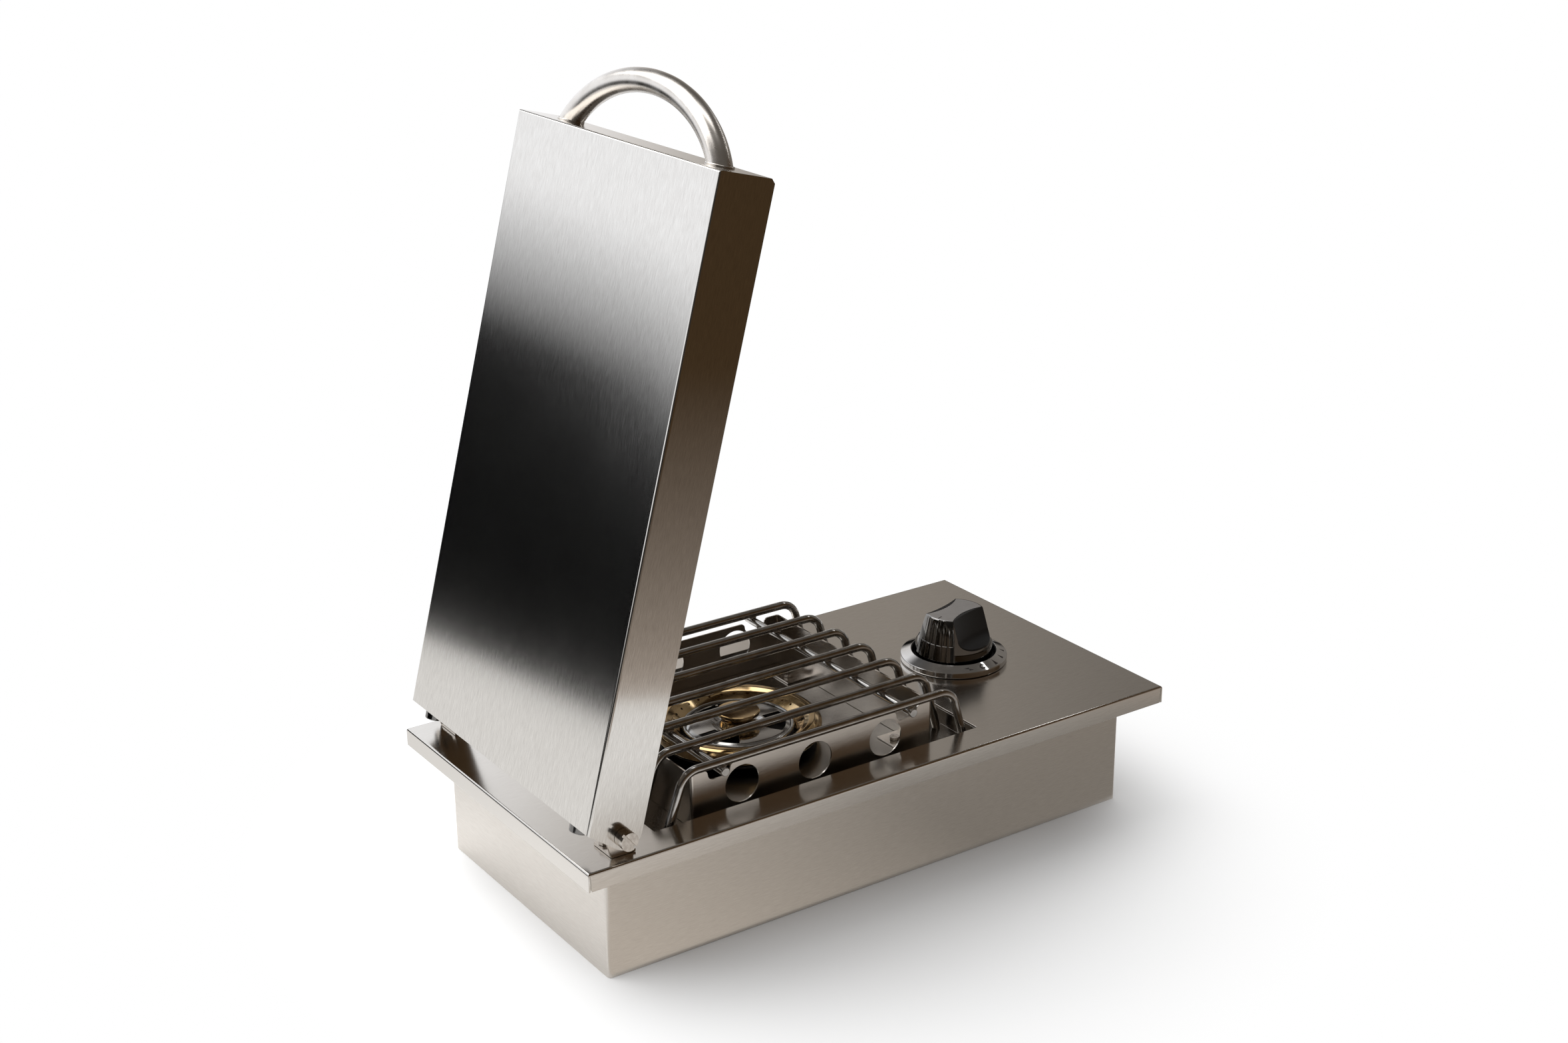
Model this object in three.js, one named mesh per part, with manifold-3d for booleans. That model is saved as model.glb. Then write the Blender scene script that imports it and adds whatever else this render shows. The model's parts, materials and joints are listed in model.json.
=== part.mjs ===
// Built-in side burner for an outdoor kitchen, with its hinged lid up.
// Millimetres, +Z up. +Y points to the hinge and -Y to the knob.
// The origin is the centre of the flat bottom of the burner box.

import * as THREE from 'three';
import { mergeVertices } from 'three/addons/utils/BufferGeometryUtils.js';
import Module from 'manifold-3d';

const wasm = await Module();
wasm.setup();

// Shared clearances
const seatGap = 0.3; // air between two pieces that rest on each other
const runningGap = 0.3; // air round a shaft that turns or slides
const screwGap = 0.4; // air round a screw's shank
const overrun = 3; // how far a cut passes the face that it opens
const neckSink = 0.6; // how deep the valve's neck runs into its body

// Top plate: a land in front of the well, the well and a land behind it
const plateWidth = 276;
const frontLand = 166;
const rearLand = 68;
const wellLength = 286;
const plateLength = frontLand + wellLength + rearLand;
const plateSheet = 1.5;
const plateFlange = 14;
const plateBend = 2;
const plateTop = 100;
const plateSeam = 0.7;
const plateUnder = plateTop - plateSheet;

// Well, the cut-out in the plate that the burner sits in
const sideLand = 26.5;
const wellWidth = plateWidth - 2 * sideLand;
const wellY = (frontLand - rearLand) / 2;
const wellDepth = 14;

// Burner box under the plate
const boxSideInset = 21.5;
const boxEndInset = 25;
const boxWidth = plateWidth - 2 * boxSideInset;
const boxLength = plateLength - 2 * boxEndInset;
const boxSheet = 1;
const boxCorner = 3.5;
const boxRim = 12;
const ventLength = 60;
const ventWidth = 8;
const ventPitch = 22;
const ventRows = 2;
const ventsPerRow = 5;
const ventRowPitch = 86;

// Tray, the floor and walls of the well
const traySheet = 1;
const trayCorner = 2.5;
const trayEndLip = 10;
const trayFloor = plateTop - wellDepth;

// Wind guard standing on the tray
const guardSideGap = 9.5;
const guardEndGap = 36.5;
const guardWidth = wellWidth - 2 * guardSideGap;
const guardLength = wellLength - 2 * guardEndGap;
const guardSheet = 1.2;
const guardHeight = 28.5; // above the plate
const guardTop = plateTop + guardHeight;
const guardFold = 2;
const windowRadius = 12.5;
const windowEndInset = 43;
const windowPitch = guardLength / 2 - windowEndInset;
const windowHeight = 12;
const notchEndInset = 23.5;
const notchReach = guardLength / 2 - notchEndInset;
const notchWidth = 19;
const notchDepth = 8.5;
const notchFillet = 5;
const notchShoulder = 3.5;
const tabWidth = 22;
const tabDepth = 18;
const tabSideInset = 31;
const tabReach = guardWidth / 2 - tabSideInset;
const tabScrewInset = 10;

// Cooking grate, bent wires on two cross rods
const wireRadius = 3.3;
const wireCount = 7;
const grateOverhang = 3; // from the guard's side out to the last wire's middle
const wirePitch = (guardWidth + 2 * grateOverhang) / (wireCount - 1);
const grateHeight = 37; // above the plate
const grateTop = plateTop + grateHeight;
const grateFrontInset = 20;
const grateRearInset = 29;
const grateFrontBend = wellLength / 2 - grateFrontInset;
const grateRearBend = wellLength / 2 - grateRearInset;
const frontLegSpread = 13.5;
const rearLegSpread = 16.5;
const wireBendRadius = 15;
const rodEndGap = 0.5;
const rodReach = wellWidth / 2 - rodEndGap;
const wireSides = 8;
const bendSteps = 3;

// Burner head
const ringOuterRadius = 64;
const ringCrestRadius = 57;
const ringLipRadius = 50.5;
const ringBoreRadius = 43;
const ringCrestHeight = 5.5;
const ringBottomDepth = 7;
const ringWall = 2.6;
const ringLipShare = 0.75; // of the wall, from the crest down to the lip
const portCount = 30;
const portRadius = 1;
const portLength = 8;
const portShare = 0.75;
const portSides = 4;
const discRadius = 39.9;
const discSheet = 1;
const discFlatHeight = 0.5;
const discHubRadius = 17;
const discHubDepth = 1.5;
const discStep = 3;
const discEdgeRun = 3.2;
const discEdgeDrop = 1.3;
const discBoreRadius = 3.6;
const sectorInner = 21.5;
const sectorOuter = 36.5;
const sectorAngle = 56;
const sectorCount = 3;
const rimWireRadius = 1.35;
const capRadius = 16.5;
const capTop = 11;
const capEdge = 2.8;
const capBevel = 0.8;
const capNeckRadius = 12.5;
const capFootRadius = 15;
const capStemRadius = 3.2;
const capStemLength = 3;

// Burner base, mixing tube and air shutter
const throatRadius = 15;
const baseFloorRadius = 44;
const baseFlangeRadius = 60;
const baseSheet = 2;
const bridgeWidth = 8;
const bossRadius = 6.5;
const mixerHeight = 50;
const mixerWall = 2;
const mixerFlangeRadius = 25;
const mixerFlangeThickness = 2.5;
const mixerEntryRadius = 13;
const mixerThroatRadius = 9;
const mixerMouthRadius = 14;
const mixerMouthSetback = 42; // behind the knob's axis
const mixerThroatSetback = 70;
const burnerScrewReach = 20;
const shutterLength = 22;
const shutterOverlap = 8;
const shutterSheet = 1;
const shutterWindow = 9;

// Gas valve, jet and supply
const knobSetback = 100; // behind the plate's front edge
const knobY = knobSetback - plateLength / 2;
const mixerMouthY = knobY + mixerMouthSetback;
const mixerThroatY = knobY + mixerThroatSetback;
const valveRadius = 14;
const valveBottom = 38;
const valveShoulder = 88;
const valveNeckRadius = 9;
const valveBossRadius = 8;
const outletReach = 17;
const inletReach = 19;
const stemBoreBottom = 54;
const jetHexRadius = 6.5;
const jetHexLength = 6;
const jetTipRadius = 3.6;
const jetLength = 20;
const jetBoreRadius = 1.2;
const flangeThickness = 2;
const flangeWidth = 58;
const flangeDepth = 30;
const valveScrewReach = 22;
const pipeRadius = 4.8;
const fittingRadius = 7.9;
const fittingBore = 5;
const fittingLength = 22;
const fittingHexRadius = 12;
const fittingHexLength = 8;
const locknutThickness = 6;

// Igniter
const moduleWidth = 20;
const moduleDepth = 24;
const moduleHeight = 40;
const moduleBottom = 44;
const electrodeReach = 30;
const ceramicRadius = 3.2;
const ceramicBottom = 66;
const ceramicDrop = 3;
const ceramicTop = plateTop - ceramicDrop;
const electrodeRadius = 1;
const electrodeTip = 6;
const leadRadius = 1.4;
const leadBend = 12;

// Knob and bezel
const bezelRadius = 43;
const bezelRim = 5;
const bezelHeight = 11;
const bezelBore = 34.5;
const bezelFoot = 41.5;
const stemRadius = 3;
const stemBottom = 60;
const stemHeight = 31;
const stemTop = plateTop + stemHeight;
const collarRadius = 7.5;
const collarThickness = 2.5;
const collarHeight = 6.5;
const collarBottom = plateTop + collarHeight;
const knobGap = 6; // between the plate and the knob
const knobHeight = 36;
const knobBottom = plateTop + knobGap;
const knobTop = knobBottom + knobHeight;
const knobSkirtRadius = 31;
const knobSkirtHeight = 3;
const knobTopRadius = 24.4;
const knobEdge = 0.8;
const knobHollowRadius = 26;
const knobHollowDepth = 8;
const knobAngle = 106;
const plateauHalfLength = 20.5;
const plateauHalfWaist = 8.5;
const plateauHalfEnd = 13.25;
const plateauSheet = 1.2;
const plateauInset = 0.5;
const plateauSteps = 3;
const scoopBottom = 8;
const gripThickness = 1.5;
const ribsPerEnd = 9;
const ribPitchAngle = 10.5;
const ribHeight = 13;
const ribWidth = 4.2;
const ribProud = 0.8;
const ribRoot = 1.6;
const knobSides = 32;

// Lid, drawn closed about its hinge pin and then swung open
const lidOpenAngle = 75.2;
const hingeSetback = 31; // in front of the plate's rear edge
const hingeY = plateLength / 2 - hingeSetback;
const hingeHeight = 16.6;
const lidSideInset = 5.75;
const lidFrontInset = 39.1;
const lidBack = 1.4; // from the pin forward to the lid's back edge
const lidWidth = plateWidth - 2 * lidSideInset;
const lidLength = plateLength - hingeSetback - lidBack - lidFrontInset;
const lidDepth = 43.5;
const lidSheet = 1.5;
const lidBend = 2;
const lidCrown = 28.6; // from the pin up to the closed lid's top face
const noseRadius = 12.5;
const noseInset = 1;
const lidCornerCut = 3;
const noseSteps = 4;
const lipDepth = 6;
const stopWidth = 26;
const stopSideInset = 23.25;
const stopReach = lidWidth / 2 - stopSideInset;
const stopLength = 9.5;
const stopInset = 3.5;

// Lid handle
const handleRadius = 8.5;
const handleSideInset = 35.25;
const handleHalfSpan = lidWidth / 2 - handleSideInset;
const handleRise = 41;
const handleDrop = 23.2;
const handleStartAngle = 25;
const handleOverlapAngle = 12;
const handleSteps = 18;
const handleSides = 12;

// Hinge
const pinRadius = 3.2;
const pinHeadRadius = 6.75;
const pinHeadLength = 9.4;
const pinSlotWidth = 2.2;
const pinSlotDepth = 2.5;
const pinHeadBevel = 0.8;
const washerRadius = 7;
const washerThickness = 2.1;
const earThickness = 2;
const earRadius = 10;
const footLength = 19;
const footWidth = 22;
const footBack = 7;
const footScrewShare = 0.72;
const nutRadius = 6.2;
const nutThickness = 5;

// Fasteners
const screwHeadRadius = 4;
const screwHeadHeight = 2.2;
const screwShankRadius = 1.9;
const screwLength = 8;
const lowHeadHeight = 1.4;

const roundSides = 18;
const fineSides = 30;
const boltSides = 8;
const arcSteps = 2; // each arc of an outline is drawn in twice as many chords

const degrees = THREE.MathUtils.degToRad;
const acrossX = new THREE.Matrix4().makeBasis(
  new THREE.Vector3(0, 1, 0), new THREE.Vector3(0, 0, 1), new THREE.Vector3(1, 0, 0));
const acrossY = new THREE.Matrix4().makeBasis(
  new THREE.Vector3(1, 0, 0), new THREE.Vector3(0, 0, 1), new THREE.Vector3(0, -1, 0));

// A curve through set stations, one sweep step per station
class Route extends THREE.Curve {
  constructor(stations) {
    super();
    this.stations = stations;
  }

  getUtoTmapping(share) {
    return share;
  }

  getPoint(share, target = new THREE.Vector3()) {
    const last = this.stations.length - 1;
    const place = share * last;
    const index = Math.min(Math.floor(place), last - 1);
    return target.lerpVectors(this.stations[index], this.stations[index + 1], place - index);
  }

  getTangent(share, target = new THREE.Vector3()) {
    const last = this.stations.length - 1;
    const index = Math.round(share * last);
    const before = Math.max(index - 1, 0);
    const after = Math.min(index, last - 1);
    const arriving = this.stations[before + 1].clone().sub(this.stations[before]).normalize();
    const leaving = this.stations[after + 1].clone().sub(this.stations[after]).normalize();
    return target.copy(arriving).add(leaving).normalize();
  }
}

// Turns a closed geometry into a solid with its faces pointing out
function weld(geometry) {
  const bare = geometry.clone();
  bare.deleteAttribute('normal');
  bare.deleteAttribute('uv');
  const merged = mergeVertices(bare);
  const points = merged.getAttribute('position').array;
  const index = merged.getIndex().array;
  const corner = [new THREE.Vector3(), new THREE.Vector3(), new THREE.Vector3()];
  const faces = [];
  let volume = 0;
  for (let i = 0; i < index.length; i += 3) {
    const [a, b, c] = [index[i], index[i + 1], index[i + 2]];
    if (a === b || b === c || c === a) continue;
    faces.push([a, b, c]);
    corner[0].fromArray(points, a * 3);
    corner[1].fromArray(points, b * 3);
    corner[2].fromArray(points, c * 3);
    volume += corner[0].dot(corner[1].cross(corner[2]));
  }
  const triVerts = faces.flatMap(([a, b, c]) => (volume < 0 ? [a, c, b] : [a, b, c]));
  return new wasm.Manifold(new wasm.Mesh({
    numProp: 3,
    vertProperties: new Float32Array(points),
    triVerts: new Uint32Array(triVerts),
  }));
}

const asSolid = (form) => (form.isBufferGeometry ? weld(form) : form);
const join = (...forms) => forms.map(asSolid).reduce((whole, form) => whole.add(form));
const cut = (body, ...tools) => tools.map(asSolid).reduce(
  (whole, tool) => whole.subtract(tool), asSolid(body));
const common = (first, second) => asSolid(first).intersect(asSolid(second));

const centred = (middle, size) => [middle - size / 2, middle + size / 2];
const sorted = (first, second) => [Math.min(first, second), Math.max(first, second)];

function block(x, y, z) {
  const geometry = new THREE.BoxGeometry(x[1] - x[0], y[1] - y[0], z[1] - z[0]);
  return geometry.translate((x[0] + x[1]) / 2, (y[0] + y[1]) / 2, (z[0] + z[1]) / 2);
}

function prism(shape, low, high, steps = arcSteps) {
  const options = { depth: high - low, bevelEnabled: false, curveSegments: steps };
  return new THREE.ExtrudeGeometry(shape, options).translate(0, 0, low);
}

// The outline is drawn in Y and Z
function prismX(shape, low, high, steps = arcSteps) {
  return prism(shape, low, high, steps).applyMatrix4(acrossX);
}

// The outline is drawn in X and Z
function prismY(shape, low, high, steps = arcSteps) {
  return prism(shape, -high, -low, steps).applyMatrix4(acrossY);
}

function post(radius, x, y, z, sides = roundSides) {
  const geometry = new THREE.CylinderGeometry(radius, radius, z[1] - z[0], sides);
  return geometry.rotateX(Math.PI / 2).translate(x, y, (z[0] + z[1]) / 2);
}

function barX(radius, x, y, z, sides = roundSides) {
  const geometry = new THREE.CylinderGeometry(radius, radius, x[1] - x[0], sides);
  return geometry.rotateZ(Math.PI / 2).translate((x[0] + x[1]) / 2, y, z);
}

function barY(radius, x, y, z, sides = roundSides) {
  const geometry = new THREE.CylinderGeometry(radius, radius, y[1] - y[0], sides);
  return geometry.translate(x, (y[0] + y[1]) / 2, z);
}

// Turns a closed outline of [radius, height] points about the Z axis
function turned(outline, sides = roundSides) {
  const points = [...outline, outline[0]].map(([radius, height]) => new THREE.Vector2(radius, height));
  return new THREE.LatheGeometry(points, sides).rotateX(Math.PI / 2);
}

// Turns a closed outline of [radius, place] points about an axis along Y
function turnedY(outline, height, sides = roundSides) {
  const points = [...outline, outline[0]].map(([radius, place]) => new THREE.Vector2(radius, place));
  return new THREE.LatheGeometry(points, sides).translate(0, 0, height);
}

function roundedRectangle(width, length, radius, centreY = 0) {
  const [left, right] = centred(0, width);
  const [low, high] = centred(centreY, length);
  const shape = new THREE.Shape();
  shape.absarc(right - radius, low + radius, radius, -Math.PI / 2, 0);
  shape.absarc(right - radius, high - radius, radius, 0, Math.PI / 2);
  shape.absarc(left + radius, high - radius, radius, Math.PI / 2, Math.PI);
  shape.absarc(left + radius, low + radius, radius, Math.PI, 1.5 * Math.PI);
  return shape;
}

// Cross-section of a block whose two upper edges are folded round
function foldedOutline(span, top, bottom, bend) {
  const shape = new THREE.Shape();
  shape.moveTo(-span / 2, bottom);
  shape.lineTo(span / 2, bottom);
  shape.absarc(span / 2 - bend, top - bend, bend, 0, Math.PI / 2);
  shape.absarc(bend - span / 2, top - bend, bend, Math.PI / 2, Math.PI);
  return shape;
}

function polygon(radius, sides) {
  const shape = new THREE.Shape();
  for (let i = 0; i < sides; i += 1) {
    const angle = (2 * Math.PI * (i + 0.5)) / sides;
    const draw = i === 0 ? 'moveTo' : 'lineTo';
    shape[draw](radius * Math.cos(angle), radius * Math.sin(angle));
  }
  shape.closePath();
  return shape;
}

function sweep(radius, sides, stations) {
  return new THREE.ExtrudeGeometry(polygon(radius, sides), {
    steps: stations.length - 1,
    extrudePath: new Route(stations),
    bevelEnabled: false,
  });
}

// Stations along straight runs whose corners are bent to one radius
function bentStations(corners, radius, steps) {
  const stations = [corners[0]];
  for (let i = 1; i < corners.length - 1; i += 1) {
    const arriving = corners[i].clone().sub(corners[i - 1]).normalize();
    const leaving = corners[i + 1].clone().sub(corners[i]).normalize();
    const turn = arriving.angleTo(leaving);
    const tangent = radius * Math.tan(turn / 2);
    const inward = leaving.clone().sub(arriving).normalize();
    const centre = corners[i].clone().addScaledVector(inward, radius / Math.cos(turn / 2));
    const start = corners[i].clone().addScaledVector(arriving, -tangent).sub(centre);
    const axis = arriving.clone().cross(leaving).normalize();
    for (let step = 0; step <= steps; step += 1) {
      stations.push(start.clone().applyAxisAngle(axis, (turn * step) / steps).add(centre));
    }
  }
  stations.push(corners[corners.length - 1]);
  return stations;
}

function finish(color, roughness, metalness) {
  return new THREE.MeshStandardMaterial({ color, roughness, metalness });
}

const brushedSteel = () => finish('#8d8781', 0.32, 1);
const polishedSteel = () => finish('#a9a6a2', 0.14, 1);
const darkSteel = () => finish('#3b3733', 0.4, 1);
const brass = () => finish('#c2a066', 0.18, 1);
const blackPlastic = () => finish('#17171a', 0.55, 0);
const ceramicWhite = () => finish('#e4e0d6', 0.45, 0);

function piece(name, form, material) {
  const { vertProperties, triVerts } = asSolid(form).getMesh();
  const geometry = new THREE.BufferGeometry();
  geometry.setAttribute('position', new THREE.BufferAttribute(new Float32Array(vertProperties), 3));
  geometry.setIndex(new THREE.BufferAttribute(new Uint32Array(triVerts), 1));
  geometry.computeVertexNormals();
  const mesh = new THREE.Mesh(geometry, material);
  mesh.name = name;
  return mesh;
}

// One numbered mesh for each copy of a repeated piece
function copies(name, forms, material) {
  return forms.map((form, i) => piece(`${name}_${i + 1}`, form, material()));
}

// A pan-head screw pointing down, its head seated on the given height
function downScrew(x, y, seat, headHeight = screwHeadHeight, length = screwLength) {
  const foot = seat + seatGap;
  return join(
    post(screwHeadRadius, x, y, [foot, foot + headHeight], boltSides),
    post(screwShankRadius, x, y, [foot - length, foot + headHeight / 2], 6));
}

function screwHole(x, y, z) {
  return post(screwShankRadius + screwGap, x, y, z, boltSides);
}

const panelInside = lidWidth / 2 - lidSheet;
const earOutside = panelInside - washerThickness - 2 * seatGap;
const earInside = earOutside - earThickness;
const pinZ = plateTop + hingeHeight;
const footScrews = [-1, 1].flatMap((side) => [-1, 1].map((end) => ({
  x: side * (earInside - footScrewShare * footWidth),
  y: hingeY + footBack - footLength / 2 + (end * footLength) / 4,
})));
const valveScrewPlaces = [-1, 1].map((side) => side * valveScrewReach);

function topPlate() {
  const outer = common(
    prismY(foldedOutline(plateWidth, plateTop, plateTop - plateFlange, plateBend),
      ...centred(0, plateLength)),
    prismX(foldedOutline(plateLength, plateTop, plateTop - plateFlange, plateBend),
      ...centred(0, plateWidth)));
  const inside = block(
    centred(0, plateWidth - 2 * plateSheet),
    centred(0, plateLength - 2 * plateSheet),
    [plateTop - plateFlange - overrun, plateUnder]);
  const through = [plateUnder - overrun, plateTop + overrun];
  const well = prism(roundedRectangle(wellWidth, wellLength, trayCorner - traySheet, wellY), ...through);
  const seams = [-1, 1].flatMap((side) => [-1, 1].map((end) => block(
    sorted(side * (plateWidth / 2 - 2 * plateSheet), side * (plateWidth / 2 + overrun)),
    sorted(end * (plateLength / 2 - plateSheet - plateSeam), end * (plateLength / 2 - plateSheet)),
    [plateTop - plateFlange - overrun, plateTop - plateBend])));
  const stemHole = post(valveNeckRadius + screwGap, 0, knobY, through);
  const holes = footScrews.map(({ x, y }) => screwHole(x, y, through));
  const valveHoles = valveScrewPlaces.map((x) => screwHole(x, knobY, through));
  return cut(outer, inside, well, stemHole, ...seams, ...holes, ...valveHoles);
}

function burnerBox() {
  const top = plateUnder - seatGap;
  const shell = join(
    prism(roundedRectangle(boxWidth, boxLength, boxCorner), 0, top),
    prism(roundedRectangle(boxWidth + 2 * boxRim, boxLength + 2 * boxRim, boxCorner),
      top - boxSheet, top));
  const room = prism(
    roundedRectangle(boxWidth - 2 * boxSheet, boxLength - 2 * boxSheet, boxCorner - boxSheet),
    -overrun, top + overrun);
  const inlet = barY(fittingRadius + screwGap, 0,
    sorted(overrun - boxLength / 2, -overrun - boxLength / 2), mixerHeight);
  return cut(shell, room, inlet);
}

// Floor panel let in between the walls
function boxFloor() {
  const inset = boxSheet + seatGap;
  const panel = prism(
    roundedRectangle(boxWidth - 2 * inset, boxLength - 2 * inset, boxCorner - inset), 0, boxSheet);
  const vents = [];
  for (let row = 0; row < ventRows; row += 1) {
    for (let i = 0; i < ventsPerRow; i += 1) {
      const slot = roundedRectangle(ventWidth, ventLength, ventWidth / 2 - seatGap);
      vents.push(prism(slot, -overrun, boxSheet + overrun, 1).translate(
        (i - (ventsPerRow - 1) / 2) * ventPitch, (row - (ventRows - 1) / 2) * ventRowPitch, 0));
    }
  }
  return cut(panel, ...vents);
}

function guardScrewPlaces() {
  const reach = guardLength / 2 - guardSheet - tabScrewInset;
  return [-1, 1].flatMap((side) => [-1, 1].map((end) => (
    { x: side * tabReach, y: wellY + end * reach })));
}

function burnerTray() {
  const lipTop = plateUnder - seatGap;
  const under = trayFloor - traySheet;
  const outerWidth = wellWidth + 2 * traySheet;
  const outerLength = wellLength + 2 * traySheet;
  const lipWidth = boxWidth - 2 * boxSheet - 2 * seatGap;
  const shell = join(
    prism(roundedRectangle(outerWidth, outerLength, trayCorner, wellY), under, lipTop),
    prism(roundedRectangle(lipWidth, outerLength + 2 * trayEndLip, trayCorner, wellY),
      lipTop - traySheet, lipTop));
  const room = prism(
    roundedRectangle(wellWidth, wellLength, trayCorner - traySheet, wellY),
    trayFloor, lipTop + overrun);
  const through = [under - overrun, trayFloor + overrun];
  const throat = post(throatRadius, 0, wellY, through);
  const guardHoles = guardScrewPlaces().map(({ x, y }) => screwHole(x, y, through));
  const burnerHoles = [-1, 1].map((end) => screwHole(0, wellY + end * burnerScrewReach, through));
  const leadHole = post(ceramicRadius + seatGap, electrodeReach, wellY, through, 16);
  return cut(shell, room, throat, leadHole, ...guardHoles, ...burnerHoles);
}

function notchOutline(centre) {
  const shape = new THREE.Shape();
  const half = notchWidth / 2;
  const floor = guardTop - notchDepth;
  shape.absarc(centre - half - notchShoulder, guardTop - notchShoulder, notchShoulder,
    Math.PI / 2, 0, true);
  shape.absarc(centre - half + notchFillet, floor + notchFillet, notchFillet, Math.PI, 1.5 * Math.PI);
  shape.absarc(centre + half - notchFillet, floor + notchFillet, notchFillet, 1.5 * Math.PI, 2 * Math.PI);
  shape.absarc(centre + half + notchShoulder, guardTop - notchShoulder, notchShoulder,
    Math.PI, Math.PI / 2, true);
  shape.lineTo(centre + half + notchShoulder, guardTop + overrun);
  shape.lineTo(centre - half - notchShoulder, guardTop + overrun);
  return shape;
}

function windGuard() {
  const foot = trayFloor + seatGap;
  const outer = prism(roundedRectangle(guardWidth, guardLength, guardFold, wellY), foot, guardTop);
  const room = prism(
    roundedRectangle(guardWidth - 2 * guardSheet, guardLength - 2 * guardSheet,
      guardFold - guardSheet, wellY),
    foot - overrun, guardTop + overrun);
  const across = centred(0, guardWidth + 2 * overrun);
  const windows = [-1, 0, 1].map((place) => barX(windowRadius, across,
    wellY + place * windowPitch, plateTop + windowHeight));
  const notches = [-1, 1].map((end) => prismX(notchOutline(wellY + end * notchReach), ...across));
  const tabs = [-1, 1].flatMap((side) => [-1, 1].map((end) => block(
    centred(side * tabReach, tabWidth),
    sorted(wellY + end * (guardLength / 2 - guardSheet / 2),
      wellY + end * (guardLength / 2 - guardSheet - tabDepth)),
    [foot, foot + guardSheet])));
  const holes = guardScrewPlaces().map(({ x, y }) => screwHole(
    x, y, [foot - overrun, foot + guardSheet + overrun]));
  return cut(join(cut(outer, room, ...windows, ...notches), ...tabs), ...holes);
}

function guardScrews() {
  const seat = trayFloor + seatGap + guardSheet;
  return guardScrewPlaces().map(({ x, y }) => downScrew(x, y, seat));
}

const wireZ = grateTop - wireRadius;

function grateWires() {
  const legFoot = trayFloor + seatGap;
  const floor = block(centred(0, plateWidth), centred(0, plateLength), [0, legFoot]);
  const wires = [];
  for (let i = 0; i < wireCount; i += 1) {
    const x = (i - (wireCount - 1) / 2) * wirePitch;
    const corners = [
      new THREE.Vector3(x, wellY - grateFrontBend - frontLegSpread, legFoot),
      new THREE.Vector3(x, wellY - grateFrontBend, wireZ),
      new THREE.Vector3(x, wellY + grateRearBend, wireZ),
      new THREE.Vector3(x, wellY + grateRearBend + rearLegSpread, legFoot),
    ];
    wires.push(cut(sweep(wireRadius, wireSides, bentStations(corners, wireBendRadius, bendSteps)), floor));
  }
  return wires;
}

function grateRods() {
  const rodZ = wireZ - 2 * wireRadius;
  return [-1, 1].map((end) => barX(wireRadius, centred(0, 2 * rodReach),
    wellY + end * notchReach, rodZ, wireSides));
}

// Outline of the pressed brass ring, a channel open below
function ringOutline() {
  const top = plateTop + ringCrestHeight;
  const bottom = plateTop - ringBottomDepth;
  const lipZ = top - ringLipShare * ringWall;
  const boreZ = plateTop - ringWall;
  const channelTop = top - ringWall;
  return [
    [ringOuterRadius - ringWall, bottom],
    [ringOuterRadius, bottom + ringWall],
    [ringOuterRadius, plateTop + ringCrestHeight / 3],
    [ringOuterRadius - ringWall, top - ringWall / 2],
    [ringCrestRadius + ringWall / 2, top],
    [ringCrestRadius - ringWall, top],
    [ringLipRadius, lipZ],
    [ringBoreRadius, boreZ],
    [ringBoreRadius, boreZ - ringWall / 2],
    [ringLipRadius - ringWall, bottom],
    [ringLipRadius, bottom],
    [ringLipRadius + ringWall / 2, channelTop - ringWall],
    [ringCrestRadius - ringWall / 2, channelTop],
    [ringCrestRadius + ringWall / 2, channelTop],
    [ringOuterRadius - ringWall, plateTop],
    [ringOuterRadius - 2 * ringWall, bottom],
  ];
}

function burnerRing() {
  const lip = new THREE.Vector2(
    ringLipRadius, plateTop + ringCrestHeight - ringLipShare * ringWall);
  const bore = new THREE.Vector2(ringBoreRadius, plateTop - ringWall);
  const slope = lip.clone().sub(bore);
  const middle = bore.clone().addScaledVector(slope, portShare);
  const tilt = Math.atan2(slope.y, slope.x);
  const ports = [];
  for (let i = 0; i < portCount; i += 1) {
    const port = new THREE.CylinderGeometry(portRadius, portRadius, portLength, portSides);
    port.rotateX(Math.PI / 2).rotateY(-tilt).translate(middle.x, 0, middle.y);
    ports.push(port.rotateZ((2 * Math.PI * (i + 0.5)) / portCount));
  }
  return cut(turned(ringOutline(), portCount), join(...ports)).translate([0, wellY, 0]);
}

function burnerDisc() {
  const flat = plateTop + discFlatHeight;
  const hub = plateTop - discHubDepth;
  const edge = flat - discEdgeDrop;
  const top = [
    [discBoreRadius, hub], [discHubRadius, hub], [discHubRadius + discStep, flat],
    [discRadius - discEdgeRun, flat], [discRadius, edge],
  ];
  const under = top.map(([radius, height]) => [radius, height - discSheet]).reverse();
  const sectors = [];
  for (let i = 0; i < sectorCount; i += 1) {
    const middle = (2 * Math.PI * i) / sectorCount;
    const half = degrees(sectorAngle / 2);
    const shape = new THREE.Shape();
    shape.absarc(0, 0, sectorOuter, middle - half, middle + half);
    shape.absarc(0, 0, sectorInner, middle + half, middle - half, true);
    sectors.push(prism(shape, flat - discSheet - overrun, flat + overrun, 4));
  }
  return cut(turned([...top, ...under], fineSides), ...sectors).translate([0, wellY, 0]);
}

function burnerRim() {
  const radius = discRadius + seatGap + rimWireRadius;
  const height = plateTop + discFlatHeight - discEdgeDrop + (rimWireRadius - discSheet) / 2;
  const torus = new THREE.TorusGeometry(radius, rimWireRadius, 6, fineSides);
  return torus.translate(0, wellY, height);
}

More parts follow.
